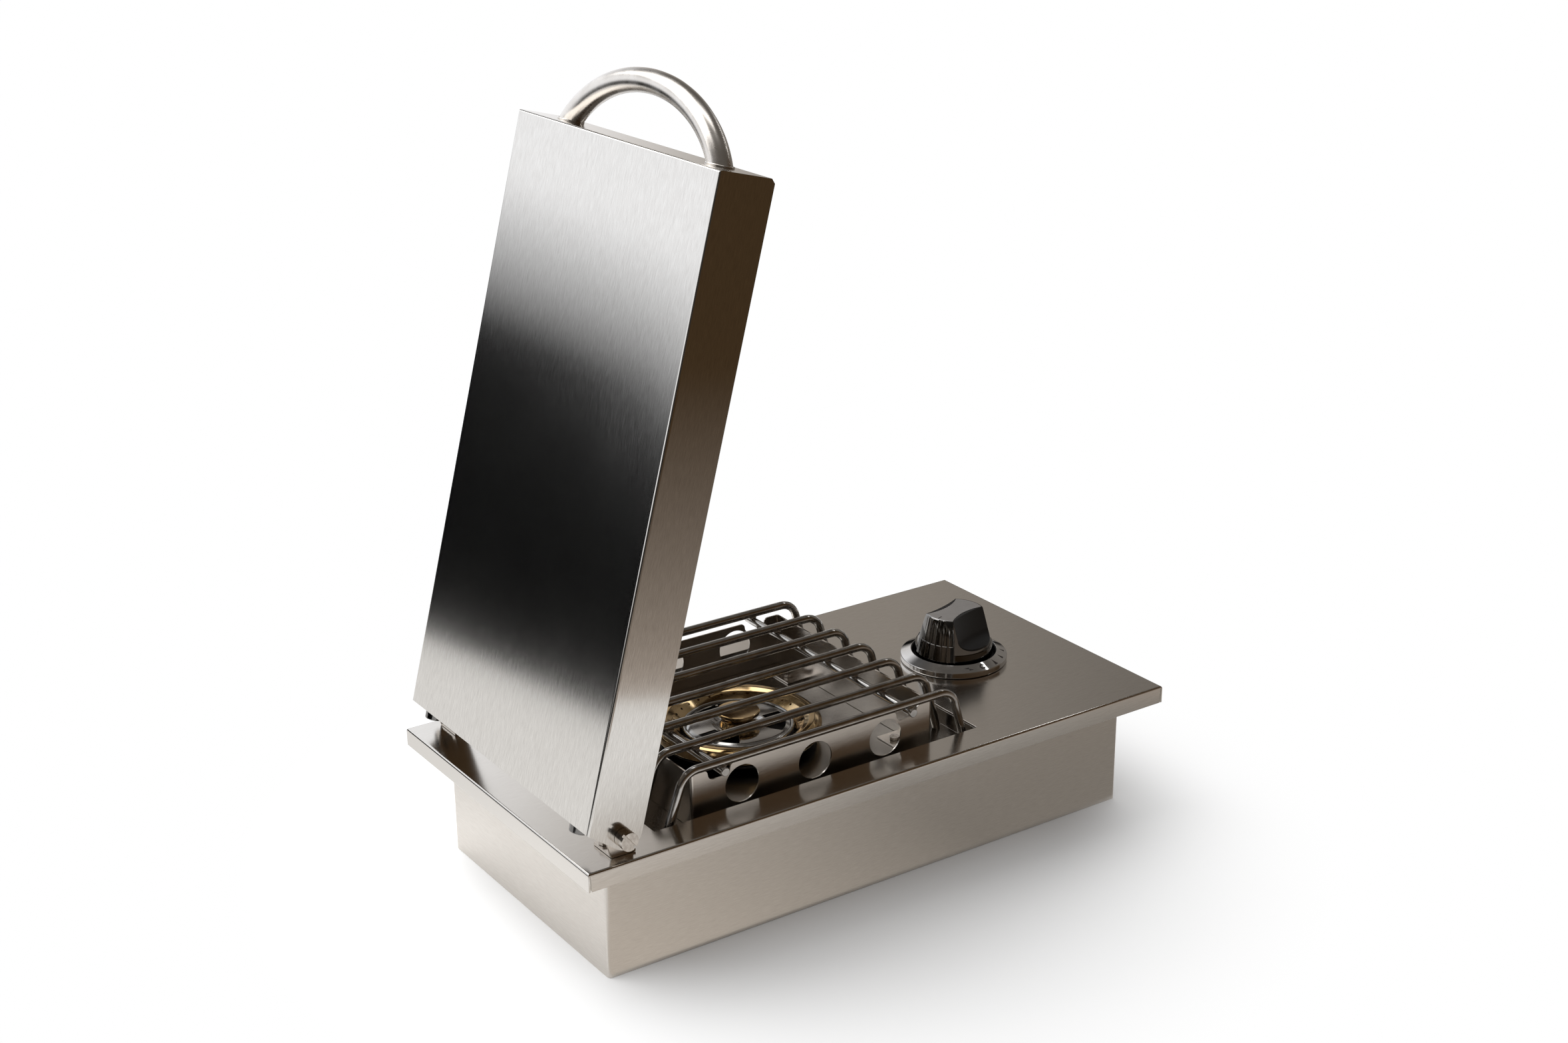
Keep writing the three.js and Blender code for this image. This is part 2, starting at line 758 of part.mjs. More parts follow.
function burnerCap() {
  const foot = plateTop - discHubDepth + seatGap;
  const top = plateTop + capTop;
  const outline = [
    [0, foot - capStemLength],
    [capStemRadius, foot - capStemLength],
    [capStemRadius, foot],
    [capFootRadius, foot],
    [capNeckRadius, foot + (top - capEdge - foot) / 2],
    [capNeckRadius + capBevel, top - capEdge - capBevel],
    [capRadius, top - capEdge],
    [capRadius, top - capBevel],
    [capRadius - capBevel, top],
    [0, top],
  ];
  return turned(outline).translate(0, wellY, 0);
}

function burnerBase() {
  const floor = trayFloor + seatGap;
  const flangeTop = plateTop - ringBottomDepth - seatGap;
  const outline = [
    [throatRadius, floor],
    [baseFloorRadius, floor],
    [baseFlangeRadius, flangeTop - baseSheet],
    [baseFlangeRadius, flangeTop],
    [baseFloorRadius + baseSheet, flangeTop],
    [baseFloorRadius - baseSheet, floor + baseSheet],
    [throatRadius, floor + baseSheet],
  ];
  const bridge = block(centred(0, 2 * throatRadius + 2 * baseSheet), centred(0, bridgeWidth),
    [floor, floor + baseSheet]);
  const bossTop = plateTop - discHubDepth - discSheet - seatGap;
  const boss = post(bossRadius, 0, 0, [floor, bossTop]);
  const bossBore = post(capStemRadius + screwGap, 0, 0,
    [bossTop - capStemLength, bossTop + overrun], 16);
  const through = [floor - overrun, floor + baseSheet + overrun];
  const holes = [-1, 1].map((end) => screwHole(0, end * burnerScrewReach, through));
  const leadHole = post(ceramicRadius + seatGap, electrodeReach, 0, through, 16);
  return cut(join(turned(outline, fineSides), bridge, boss), bossBore, leadHole, ...holes)
    .translate([0, wellY, 0]);
}

function burnerScrews() {
  const seat = trayFloor + seatGap + baseSheet;
  return [-1, 1].map((end) => downScrew(0, wellY + end * burnerScrewReach, seat));
}

// Elbow and horn that mix gas with air on the way to the burner
function mixingTube() {
  const top = trayFloor - traySheet - seatGap;
  const elbowRadius = throatRadius + mixerWall;
  const elbowBottom = mixerHeight - mixerEntryRadius - mixerWall;
  const hornStart = wellY;
  const stations = [
    [mixerMouthRadius, mixerMouthY],
    [mixerThroatRadius, mixerThroatY],
    [mixerEntryRadius, hornStart],
  ];
  const outside = stations.map(([radius, y]) => [radius + mixerWall, y]);
  const bore = stations.map(([radius, y], i) => [radius, i === 0 ? y - overrun : y]);
  const horn = turnedY([[0, mixerMouthY], ...outside, [0, hornStart]], mixerHeight);
  const hornBore = turnedY([[0, mixerMouthY - overrun], ...bore, [0, hornStart]], mixerHeight);
  const holes = [-1, 1].map((end) => screwHole(
    0, wellY + end * burnerScrewReach, [top - mixerFlangeThickness - overrun, top + overrun]));
  const walls = join(
    post(elbowRadius, 0, wellY, [elbowBottom, top]),
    post(mixerFlangeRadius, 0, wellY, [top - mixerFlangeThickness, top]),
    horn);
  return cut(walls, hornBore,
    post(throatRadius, 0, wellY, [elbowBottom + mixerWall, top + overrun]), ...holes);
}

function airShutter() {
  const inner = mixerMouthRadius + mixerWall + seatGap;
  const outer = inner + shutterSheet;
  const back = mixerMouthY + shutterOverlap;
  const front = back - shutterLength;
  const shell = turnedY([
    [jetHexRadius + runningGap, front], [outer, front], [outer, back], [inner, back],
    [inner, front + shutterSheet], [jetHexRadius + runningGap, front + shutterSheet],
  ], mixerHeight);
  const window = block(centred(0, 2 * outer + 2 * overrun),
    centred(mixerMouthY - shutterWindow / 2 - seatGap, shutterWindow),
    centred(mixerHeight, shutterWindow));
  return cut(shell, window);
}

function gasJet() {
  const start = knobY + outletReach + seatGap;
  return cut(
    join(
      barY(jetHexRadius, 0, [start, start + jetHexLength], mixerHeight, 6),
      barY(jetTipRadius, 0, [start, start + jetLength], mixerHeight, 16)),
    barY(jetBoreRadius, 0, [start + jetHexLength, start + jetLength + overrun], mixerHeight, 8));
}

function gasValve() {
  const top = plateUnder - seatGap - flangeThickness - seatGap;
  const bore = stemRadius + runningGap;
  return cut(
    join(
      post(valveRadius, 0, knobY, [valveBottom, valveShoulder]),
      post(valveNeckRadius, 0, knobY, [valveShoulder - neckSink, top]),
      barY(valveBossRadius, 0, [knobY, knobY + outletReach], mixerHeight),
      barY(valveBossRadius, 0, [knobY - inletReach, knobY], mixerHeight)),
    post(bore, 0, knobY, [stemBoreBottom, top + overrun]));
}

function valveFlange() {
  const top = plateUnder - seatGap;
  const through = [top - flangeThickness - overrun, top + overrun];
  return cut(
    block(centred(0, flangeWidth), centred(knobY, flangeDepth), [top - flangeThickness, top]),
    post(stemRadius + runningGap, 0, knobY, through),
    ...valveScrewPlaces.map((x) => screwHole(x, knobY, through)));
}

function valveScrews() {
  return valveScrewPlaces.map((x) => downScrew(x, knobY, plateTop, lowHeadHeight));
}

function supplyPipe() {
  const start = knobY - inletReach - seatGap;
  const end = boxSheet - boxLength / 2 + seatGap + fittingHexLength + seatGap;
  return cut(
    barY(pipeRadius, 0, [end, start], mixerHeight),
    barY(pipeRadius - boxSheet, 0, [end - overrun, start + overrun], mixerHeight));
}

function inletFitting() {
  const wallInside = boxSheet - boxLength / 2;
  const hexStart = wallInside + seatGap;
  const end = -boxLength / 2 - fittingLength;
  return cut(
    join(
      barY(fittingHexRadius, 0, [hexStart, hexStart + fittingHexLength], mixerHeight, 6),
      barY(fittingRadius, 0, [end, hexStart + fittingHexLength / 2], mixerHeight, 24)),
    barY(fittingBore, 0, [end - overrun, hexStart + fittingHexLength + overrun], mixerHeight));
}

function inletLocknut() {
  const start = -boxLength / 2 - seatGap;
  return cut(
    barY(fittingHexRadius, 0, [start - locknutThickness, start], mixerHeight, 6),
    barY(fittingRadius + seatGap, 0, [start - locknutThickness - overrun, start + overrun],
      mixerHeight, 24));
}

const moduleX = valveRadius + seatGap;

function igniterModule() {
  return block([moduleX, moduleX + moduleWidth], centred(knobY, moduleDepth),
    [moduleBottom, moduleBottom + moduleHeight]);
}

function igniterCeramic() {
  return cut(
    post(ceramicRadius, electrodeReach, wellY, [ceramicBottom, ceramicTop], 16),
    post(electrodeRadius + seatGap, electrodeReach, wellY,
      [ceramicTop - electrodeTip, ceramicTop + overrun], 10));
}

function igniterElectrode() {
  return post(electrodeRadius, electrodeReach, wellY,
    [ceramicTop - electrodeTip + seatGap, ceramicTop + electrodeTip], 8);
}

function ignitionLead() {
  const x = electrodeReach;
  const z = ceramicBottom - leadBend - leadRadius;
  const corners = [
    new THREE.Vector3(x, knobY + moduleDepth / 2 + seatGap, z),
    new THREE.Vector3(x, wellY, z),
    new THREE.Vector3(x, wellY, ceramicBottom - seatGap),
  ];
  return sweep(leadRadius, 8, bentStations(corners, leadBend, bendSteps));
}

function knobBezel() {
  const foot = plateTop + seatGap;
  const outline = [
    [bezelBore, foot],
    [bezelFoot, foot],
    [bezelRadius, foot + bezelRadius - bezelFoot],
    [bezelRadius, plateTop + bezelRim],
    [bezelBore, plateTop + bezelHeight],
  ];
  return turned(outline, knobSides).translate(0, knobY, 0);
}

function stemCollar() {
  const z = [collarBottom, collarBottom + collarThickness];
  return cut(
    post(collarRadius, 0, 0, z),
    post(stemRadius + seatGap, 0, 0, [z[0] - overrun, z[1] + overrun]));
}

// The knob is drawn with its pointer along +X and turned to its rest angle afterwards
function knobCone() {
  return turned([
    [0, knobBottom],
    [knobSkirtRadius, knobBottom],
    [knobSkirtRadius, knobBottom + knobSkirtHeight],
    [knobTopRadius, knobTop - knobEdge],
    [knobTopRadius - knobEdge, knobTop],
    [0, knobTop],
  ], knobSides);
}

// Ball whose hollow leaves the plateau's waist on top and runs out above the skirt
function scoopBall(side, growth) {
  const sagitta = plateauHalfEnd - plateauHalfWaist;
  const topArc = (plateauHalfLength ** 2 + sagitta ** 2) / (2 * sagitta);
  const away = plateauHalfWaist + topArc;
  const low = knobBottom + scoopBottom;
  const coneShare = (low - knobBottom - knobSkirtHeight) / (knobTop - knobBottom - knobSkirtHeight);
  const coneRadius = knobSkirtRadius + (knobTopRadius - knobSkirtRadius) * coneShare;
  const lowArc = away - coneRadius;
  const centreZ = (topArc ** 2 - lowArc ** 2 + knobTop ** 2 - low ** 2) / (2 * (knobTop - low));
  const radius = Math.hypot(topArc, knobTop - centreZ) + growth;
  return new THREE.SphereGeometry(radius, knobSides, knobSides / 2).translate(0, side * away, centreZ);
}

function knobRibs() {
  const taper = Math.atan2(knobSkirtRadius - knobTopRadius, knobTop - knobBottom - knobSkirtHeight);
  const ribs = [];
  for (const end of [0, 1]) {
    for (let i = 0; i < ribsPerEnd; i += 1) {
      const rib = new THREE.BoxGeometry(ribProud + ribRoot, ribWidth, ribHeight);
      rib.translate((ribProud - ribRoot) / 2, 0, ribHeight / 2).rotateY(-taper);
      rib.translate(knobSkirtRadius, 0, knobBottom + knobSkirtHeight);
      const angle = end * Math.PI + degrees((i - (ribsPerEnd - 1) / 2) * ribPitchAngle);
      ribs.push(rib.rotateZ(angle));
    }
  }
  return join(...ribs);
}

function plateauOutline(inset) {
  const sagitta = plateauHalfEnd - plateauHalfWaist;
  const arc = (plateauHalfLength ** 2 + sagitta ** 2) / (2 * sagitta) + inset;
  const away = plateauHalfWaist + arc - inset;
  const reach = knobTopRadius - knobEdge - inset;
  const shape = new THREE.Shape();
  const cross = (reach ** 2 + away ** 2 - arc ** 2) / (2 * away);
  const along = Math.sqrt(reach ** 2 - cross ** 2);
  const endAngle = Math.atan2(cross, along);
  const sideAngle = Math.atan2(away - cross, along);
  shape.absarc(0, 0, reach, -endAngle, endAngle);
  shape.absarc(0, away, arc, -sideAngle, -Math.PI + sideAngle, true);
  shape.absarc(0, 0, reach, Math.PI - endAngle, Math.PI + endAngle);
  shape.absarc(0, -away, arc, Math.PI - sideAngle, sideAngle, true);
  return shape;
}

function knobSkirt() {
  const hollowTop = knobBottom + knobHollowDepth;
  const bossBottom = collarBottom + collarThickness + seatGap;
  const hollow = cut(
    post(knobHollowRadius, 0, 0, [knobBottom - overrun, hollowTop], fineSides),
    post(collarRadius + seatGap, 0, 0, [bossBottom, hollowTop + overrun], 24));
  const bore = post(stemRadius + seatGap, 0, 0, [knobBottom - overrun, stemTop + seatGap]);
  const seat = prism(plateauOutline(plateauInset - seatGap),
    knobTop - plateauSheet, knobTop + overrun, plateauSteps);
  const scoops = [-1, 1].map((side) => scoopBall(side, gripThickness + seatGap));
  return cut(join(knobCone(), knobRibs()), hollow, bore, seat, ...scoops);
}

function knobGrip(side) {
  const rind = cut(scoopBall(side, gripThickness), scoopBall(side, 0));
  const topRoom = prism(plateauOutline(plateauInset - seatGap),
    knobTop - plateauSheet, knobTop + overrun, plateauSteps);
  return cut(common(knobCone(), rind), topRoom);
}

function knobPlate() {
  return prism(plateauOutline(plateauInset), knobTop - plateauSheet + seatGap, knobTop, plateauSteps);
}

// Everything on the lid is drawn about the hinge pin, with the lid closed
const lidBackY = -lidBack;
const lidFrontY = -lidBack - lidLength;
const lidOpenEdge = lidCrown - lidDepth;

function lidShell() {
  const noseY = lidBackY - noseInset;
  const noseZ = lidOpenEdge + noseRadius;
  const toCorner = Math.atan2(lidCrown - noseZ, lidBackY - noseY);
  const spread = Math.acos(noseRadius / Math.hypot(lidCrown - noseZ, lidBackY - noseY));
  const side = new THREE.Shape();
  side.absarc(noseY, noseZ, noseRadius, toCorner - spread, -Math.PI / 2, true);
  side.lineTo(lidFrontY + lidCornerCut, lidOpenEdge);
  side.lineTo(lidFrontY, lidOpenEdge + lidCornerCut);
  side.absarc(lidFrontY + lidBend, lidCrown - lidBend, lidBend, Math.PI, Math.PI / 2, true);
  side.lineTo(lidBackY, lidCrown);
  const outer = common(
    prismX(side, ...centred(0, lidWidth), noseSteps),
    prismY(foldedOutline(lidWidth, lidCrown, lidOpenEdge, lidBend),
      lidFrontY - overrun, noseRadius + overrun));
  const room = block(
    centred(0, lidWidth - 2 * lidSheet),
    [lidFrontY + lidSheet, noseRadius + overrun],
    [lidOpenEdge - overrun, lidCrown - lidSheet]);
  const lip = block(
    centred(0, lidWidth - lidSheet),
    [lidBackY - lidSheet, lidBackY],
    [lidCrown - lipDepth, lidCrown - lidSheet / 2]);
  const stops = [-1, 1].map((half) => block(
    centred(half * stopReach, stopWidth),
    [lidBackY - lidSheet / 2, lidBackY + stopLength],
    [lidCrown - stopInset - lidSheet, lidCrown - stopInset]));
  const pinHoles = barX(pinRadius + runningGap, centred(0, lidWidth + 2 * overrun), 0, 0);
  return cut(join(cut(outer, room), lip, ...stops), pinHoles);
}

function lidHandle() {
  const start = degrees(handleStartAngle);
  const overlap = degrees(handleOverlapAngle);
  const reachX = handleHalfSpan / Math.cos(start);
  const reachY = handleRise / (1 - Math.sin(start));
  const z = lidCrown - handleDrop;
  const stations = [];
  for (let i = 0; i <= handleSteps; i += 1) {
    const angle = start - overlap + ((Math.PI - 2 * (start - overlap)) * i) / handleSteps;
    stations.push(new THREE.Vector3(
      reachX * Math.cos(angle), lidFrontY - reachY * (Math.sin(angle) - Math.sin(start)), z));
  }
  const tube = sweep(handleRadius, handleSides, stations);
  const behind = block(centred(0, 2 * reachX + 2 * handleRadius + overrun), [lidFrontY - seatGap, 0],
    [z - 2 * handleRadius, z + 2 * handleRadius]);
  return cut(tube, behind);
}

function hingeBracket(side) {
  const foot = plateTop + seatGap;
  const ear = new THREE.Shape();
  ear.moveTo(hingeY - earRadius, foot);
  ear.lineTo(hingeY + footBack, foot);
  ear.lineTo(hingeY + earRadius, pinZ - earRadius / 2);
  ear.absarc(hingeY, pinZ, earRadius, 0, Math.PI);
  const footBlock = block(
    sorted(side * (earInside - footWidth), side * earOutside),
    [hingeY + footBack - footLength, hingeY + footBack],
    [foot, foot + earThickness]);
  const through = sorted(side * (earInside - overrun), side * (earOutside + overrun));
  const holes = footScrews.filter(({ x }) => x * side > 0).map(({ x, y }) => screwHole(
    x, y, [foot - overrun, foot + earThickness + overrun]));
  return cut(
    join(prismX(ear, ...sorted(side * earInside, side * earOutside), 4), footBlock),
    barX(pinRadius + seatGap, through, hingeY, pinZ), ...holes);
}

function hingeScrew(side) {
  const headStart = lidWidth / 2 + seatGap;
  const headEnd = headStart + pinHeadLength;
  const shankEnd = earInside - seatGap - nutThickness - seatGap;
  const outline = [
    [0, shankEnd], [pinRadius, shankEnd], [pinRadius, headStart], [pinHeadRadius, headStart],
    [pinHeadRadius, headEnd - pinHeadBevel], [pinHeadRadius - pinHeadBevel, headEnd], [0, headEnd],
  ];
  const slot = block(centred(0, 2 * pinHeadRadius + 2 * overrun), centred(0, pinSlotWidth),
    [headEnd - pinSlotDepth, headEnd + overrun]);
  const upright = cut(turned(outline, 24), slot);
  return upright.rotate([0, side * 90, 0]).translate([0, hingeY, pinZ]);
}

function hingeWasher(side) {
  const x = sorted(side * (earOutside + seatGap), side * (panelInside - seatGap));
  return cut(
    barX(washerRadius, x, hingeY, pinZ),
    barX(pinRadius + seatGap, [x[0] - overrun, x[1] + overrun], hingeY, pinZ));
}

function hingeNut(side) {
  const start = earInside - seatGap;
  const x = sorted(side * (start - nutThickness), side * start);
  return cut(
    barX(nutRadius, x, hingeY, pinZ, 6),
    barX(pinRadius + seatGap, [x[0] - overrun, x[1] + overrun], hingeY, pinZ));
}

function bracketScrews() {
  const seat = plateTop + seatGap + earThickness;
  return footScrews.map(({ x, y }) => downScrew(x, y, seat));
}

const sideBurner = new THREE.Group();
sideBurner.add(
  piece('top_plate', topPlate(), brushedSteel()),
  piece('burner_box', burnerBox(), brushedSteel()),
  piece('box_floor', boxFloor(), brushedSteel()),
  piece('burner_tray', burnerTray(), brushedSteel()),
  piece('wind_guard', windGuard(), brushedSteel()),
  ...copies('wind_guard_screw', guardScrews(), polishedSteel),
  ...copies('grate_wire', grateWires(), polishedSteel),
  ...copies('grate_rod', grateRods(), polishedSteel),
  piece('burner_base', burnerBase(), darkSteel()),
  piece('burner_ring', burnerRing(), brass()),
  piece('burner_disc', burnerDisc(), polishedSteel()),
  piece('burner_rim', burnerRim(), darkSteel()),
  piece('burner_cap', burnerCap(), brass()),
  ...copies('burner_screw', burnerScrews(), polishedSteel),
  piece('mixing_tube', mixingTube(), darkSteel()),
  piece('air_shutter', airShutter(), brushedSteel()),
  piece('gas_jet', gasJet(), brass()),
  piece('gas_valve', gasValve(), brass()),
  piece('valve_flange', valveFlange(), brushedSteel()),
  ...copies('valve_screw', valveScrews(), polishedSteel),
  piece('supply_pipe', supplyPipe(), brushedSteel()),
  piece('inlet_fitting', inletFitting(), brass()),
  piece('inlet_locknut', inletLocknut(), brass()),
  piece('igniter_module', igniterModule(), blackPlastic()),
  piece('igniter_ceramic', igniterCeramic(), ceramicWhite()),
  piece('igniter_electrode', igniterElectrode(), polishedSteel()),
  piece('ignition_lead', ignitionLead(), blackPlastic()),
  piece('knob_bezel', knobBezel(), polishedSteel()),
  ...copies('bracket_screw', bracketScrews(), polishedSteel));

for (const [side, label] of [[-1, 'left'], [1, 'right']]) {
  sideBurner.add(
    piece(`hinge_bracket_${label}`, hingeBracket(side), brushedSteel()),
    piece(`hinge_screw_${label}`, hingeScrew(side), polishedSteel()),
    piece(`hinge_washer_${label}`, hingeWasher(side), polishedSteel()),
    piece(`hinge_nut_${label}`, hingeNut(side), polishedSteel()));
}

const knob = new THREE.Group();
knob.position.set(0, knobY, 0);
knob.rotation.z = degrees(knobAngle);
knob.add(
  piece('valve_stem', post(stemRadius, 0, 0, [stemBottom, stemTop]), polishedSteel()),
  piece('stem_collar', stemCollar(), polishedSteel()),
  piece('knob_skirt', knobSkirt(), polishedSteel()),
  piece('knob_grip_left', knobGrip(1), blackPlastic()),
  piece('knob_grip_right', knobGrip(-1), blackPlastic()),
  piece('knob_plate', knobPlate(), brushedSteel()));
sideBurner.add(knob);

const lid = new THREE.Group();
lid.position.set(0, hingeY, pinZ);
lid.rotation.x = -degrees(lidOpenAngle);
lid.add(
  piece('lid_shell', lidShell(), brushedSteel()),
  piece('lid_handle', lidHandle(), polishedSteel()));
sideBurner.add(lid);

export default sideBurner;
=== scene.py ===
import json
import math

import bmesh
import bpy
from mathutils import Matrix, Vector

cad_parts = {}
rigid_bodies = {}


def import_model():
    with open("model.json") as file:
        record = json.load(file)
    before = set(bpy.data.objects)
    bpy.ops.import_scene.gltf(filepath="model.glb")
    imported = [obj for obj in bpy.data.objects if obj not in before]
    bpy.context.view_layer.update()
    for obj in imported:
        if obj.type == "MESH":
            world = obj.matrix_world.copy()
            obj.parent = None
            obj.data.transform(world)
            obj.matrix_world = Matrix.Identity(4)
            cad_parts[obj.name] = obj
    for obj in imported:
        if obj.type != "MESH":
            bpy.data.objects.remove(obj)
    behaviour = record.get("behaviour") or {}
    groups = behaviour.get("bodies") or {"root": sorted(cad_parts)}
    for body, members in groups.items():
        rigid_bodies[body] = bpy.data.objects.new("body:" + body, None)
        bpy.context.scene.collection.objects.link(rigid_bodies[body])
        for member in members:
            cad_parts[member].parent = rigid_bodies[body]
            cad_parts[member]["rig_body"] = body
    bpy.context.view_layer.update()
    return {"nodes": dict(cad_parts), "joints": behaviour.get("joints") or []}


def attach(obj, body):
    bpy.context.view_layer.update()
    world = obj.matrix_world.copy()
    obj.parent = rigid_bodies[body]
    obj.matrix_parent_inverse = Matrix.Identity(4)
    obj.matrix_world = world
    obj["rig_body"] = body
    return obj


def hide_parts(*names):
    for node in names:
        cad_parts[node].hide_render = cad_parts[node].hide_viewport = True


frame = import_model()
mm = 0.001
print("frame loaded")


def linear(hexColour):  # an sRGB hex colour as linear RGBA
    channels = [int(hexColour[i:i + 2], 16) / 255 for i in (1, 3, 5)]
    return [c / 12.92 if c <= 0.04045 else ((c + 0.055) / 1.055) ** 2.4 for c in channels] + [1.0]


def addNode(tree, kind, settings=None, links=None):
    node = tree.nodes.new(f"ShaderNode{kind}")
    for name, value in (settings or {}).items():
        if name == "stops":  # the two ends of a colour ramp
            for element, (place, colour) in zip(node.color_ramp.elements, value):
                element.position = place
                element.color = linear(colour)
        elif isinstance(name, int) or name in node.inputs:
            node.inputs[name].default_value = value
        else:
            setattr(node, name, value)
    for name, (source, output) in (links or {}).items():
        tree.links.new(source.outputs[output], node.inputs[name])
    return node


def newMaterial(name, settings):  # a principled shader with its plain values
    material = bpy.data.materials.new(name)
    material.use_nodes = True
    shader = material.node_tree.nodes["Principled BSDF"]
    for socket, value in settings.items():
        shader.inputs[socket].default_value = value
    return material, material.node_tree, shader


# Noise keeps mostly within these spans, which are stretched over the whole change of tone or gloss
fullSpan = (0.3, 0.7)
tightSpan = (0.35, 0.65)


def addFinish(tree, shader, look, span, pattern, gloss, relief, blur=None):
    # tone and gloss follow one pattern, and a second one may blur the gloss further
    tone = addNode(tree, "ValToRGB", {
        "stops": ((span[0], look["dark"]), (span[1], look["light"])),
    }, {"Fac": pattern})
    rough = addNode(tree, "MapRange", {
        "From Min": fullSpan[0], "From Max": fullSpan[1], "To Min": gloss[0], "To Max": gloss[1],
    }, {"Value": pattern})
    if blur:
        rough = addNode(tree, "Math", {"operation": "ADD"}, {0: (rough, 0), 1: (blur, 0)})
    bump = addNode(tree, "Bump", {"Strength": look["bump"], "Distance": look["depth"] * mm}, {"Height": relief})
    tree.links.new(tone.outputs["Color"], shader.inputs["Base Color"])
    tree.links.new(rough.outputs[0], shader.inputs["Roughness"])
    tree.links.new(bump.outputs["Normal"], shader.inputs["Normal"])


# Belt-ground stainless sheet: reflections are drawn out across its faint lines and stay clear along them
def brushedStainless(name, look):
    material, tree, shader = newMaterial(name, {"Metallic": 1.0, "Anisotropic": look["drawnOut"]})
    coords = addNode(tree, "TexCoord")
    turn = math.radians(look.get("turn", 0))
    lines = []
    for along in look["grain"]:
        cell = [look["lineLength"] * mm if axis == along else look["lineWidth"] * mm for axis in "xyz"]
        place = addNode(tree, "Mapping", {
            "vector_type": "TEXTURE", "Rotation": (turn, 0, 0), "Scale": cell,
        }, {"Vector": (coords, "Object")})
        lines.append(addNode(tree, "TexNoise", {"Scale": 1.0, "Detail": 3.0, "Roughness": 0.65},
                             {"Vector": (place, "Vector")}))
    fac = (lines[0], "Fac")
    if len(lines) > 1:  # the second grain is for the walls that face along Y
        facing = addNode(tree, "SeparateXYZ", {}, {0: (coords, "Normal")})
        wall = addNode(tree, "Math", {"operation": "ABSOLUTE"}, {0: (facing, "Y")})
        mixed = addNode(tree, "Mix", {"data_type": "FLOAT"},
                        {0: (wall, 0), 2: (lines[0], "Fac"), 3: (lines[1], "Fac")})
        fac = (mixed, 0)
    smudge = addNode(tree, "TexNoise", {"Scale": 1 / (look["smudge"] * mm), "Detail": 2.0},
                     {"Vector": (coords, "Object")})
    blur = addNode(tree, "MapRange", {
        "From Min": tightSpan[0], "From Max": tightSpan[1],
        "To Min": -look["spread"] / 2, "To Max": look["spread"] / 2,
    }, {"Value": (smudge, "Fac")})
    gloss = [look["roughness"] + way * look["spread"] for way in (-1, 1)]
    addFinish(tree, shader, look, fullSpan, fac, gloss, fac, blur)
    across = addNode(tree, "VectorTransform", {
        "convert_from": "OBJECT", "convert_to": "WORLD",
        "Vector": (Matrix.Rotation(turn, 3, "X") @ Vector(look["across"])).normalized()})
    tree.links.new(across.outputs[0], shader.inputs["Tangent"])
    return material


# Polished or plated metal: clear reflections with the faint clouding of handling
def polishedMetal(name, look):
    material, tree, shader = newMaterial(name, {"Metallic": 1.0})
    coords = addNode(tree, "TexCoord")
    cloud, pits = [addNode(tree, "TexNoise", {"Scale": 1 / (look[cell] * mm), "Detail": detail},
                           {"Vector": (coords, "Object")}) for cell, detail in (("cloud", 4.0), ("grit", 2.0))]
    gloss = [look["roughness"] * (1 + way * look["spread"]) for way in (-1, 1)]
    addFinish(tree, shader, look, tightSpan, (cloud, "Fac"), gloss, (pits, "Fac"))
    return material


# Moulded or fired parts that are no metal: an even colour over a fine surface texture
def mouldedSurface(name, look):
    material, tree, shader = newMaterial(name, {"Metallic": 0.0, "IOR": look["ior"]})
    coords = addNode(tree, "TexCoord")
    grit = addNode(tree, "TexNoise", {"Scale": 1 / (look["grit"] * mm), "Detail": 3.0},
                   {"Vector": (coords, "Object")})
    gloss = [look["roughness"] + way * look["spread"] for way in (-1, 1)]
    addFinish(tree, shader, look, tightSpan, (grit, "Fac"), gloss, (grit, "Fac"))
    return material


# Sizes are in millimetres; the real grain is 0.1 to 0.2 wide and is drawn coarser so that it shows
sheetLook = {"grain": "y", "lineWidth": 0.45, "lineLength": 9.0, "smudge": 90.0, "roughness": 0.2,
             "spread": 0.014, "bump": 0.05, "depth": 0.02, "drawnOut": 0.7, "across": (1.0, 0.0, 1.0),
             "dark": "#cec9c3", "light": "#d9d5cf"}
wallLook = {**sheetLook, "grain": "yx", "across": (0.2, 0.2, 1.0)}  # upright walls, ground level all round
hinge = next(j for j in frame["joints"] if j["name"] == "lid_hinge")
lidTurn = -hinge["range_deg"][1]  # degrees from closed to rest, by which the grain is turned too

plateSteel = brushedStainless("brushedStainlessPlate", {**sheetLook, "roughness": 0.17})
boxSteel = brushedStainless("brushedStainlessBox", {**wallLook, "roughness": 0.3, "dark": "#cac4bd",
                                                    "light": "#d8d3cc"})
lidSteel = brushedStainless("brushedStainlessLid", {**sheetLook, "roughness": 0.13, "spread": 0.01,
                                                    "turn": lidTurn, "dark": "#c6c2bd", "light": "#dfdcd7"})
# rolled stainless whose slightly warmer tone is a painted warm reflection of the lit floor beside the guard's
# walls
guardSteelPaintedWarm = brushedStainless("rolledStainlessWithPaintedWarmTint", {**wallLook, "roughness": 0.2, "dark": "#ccc5bc",
                                                       "light": "#d8d1c9"})
traySteel = brushedStainless("rolledStainlessTray", {
    **sheetLook, "roughness": 0.2, "drawnOut": 0.4, "dark": "#a09c97", "light": "#aca8a2"})
wireSteel = polishedMetal("drawnStainlessWire", {
    "cloud": 9.0, "grit": 0.6, "roughness": 0.15, "spread": 0.25, "bump": 0.06, "depth": 0.02,
    "dark": "#a9a6a2", "light": "#bbb8b4"})
satinSteel = polishedMetal("satinStainlessTube", {
    "cloud": 14.0, "grit": 1.2, "roughness": 0.27, "spread": 0.15, "bump": 0.03, "depth": 0.02,
    "dark": "#cdc7c0", "light": "#dad5cf"})
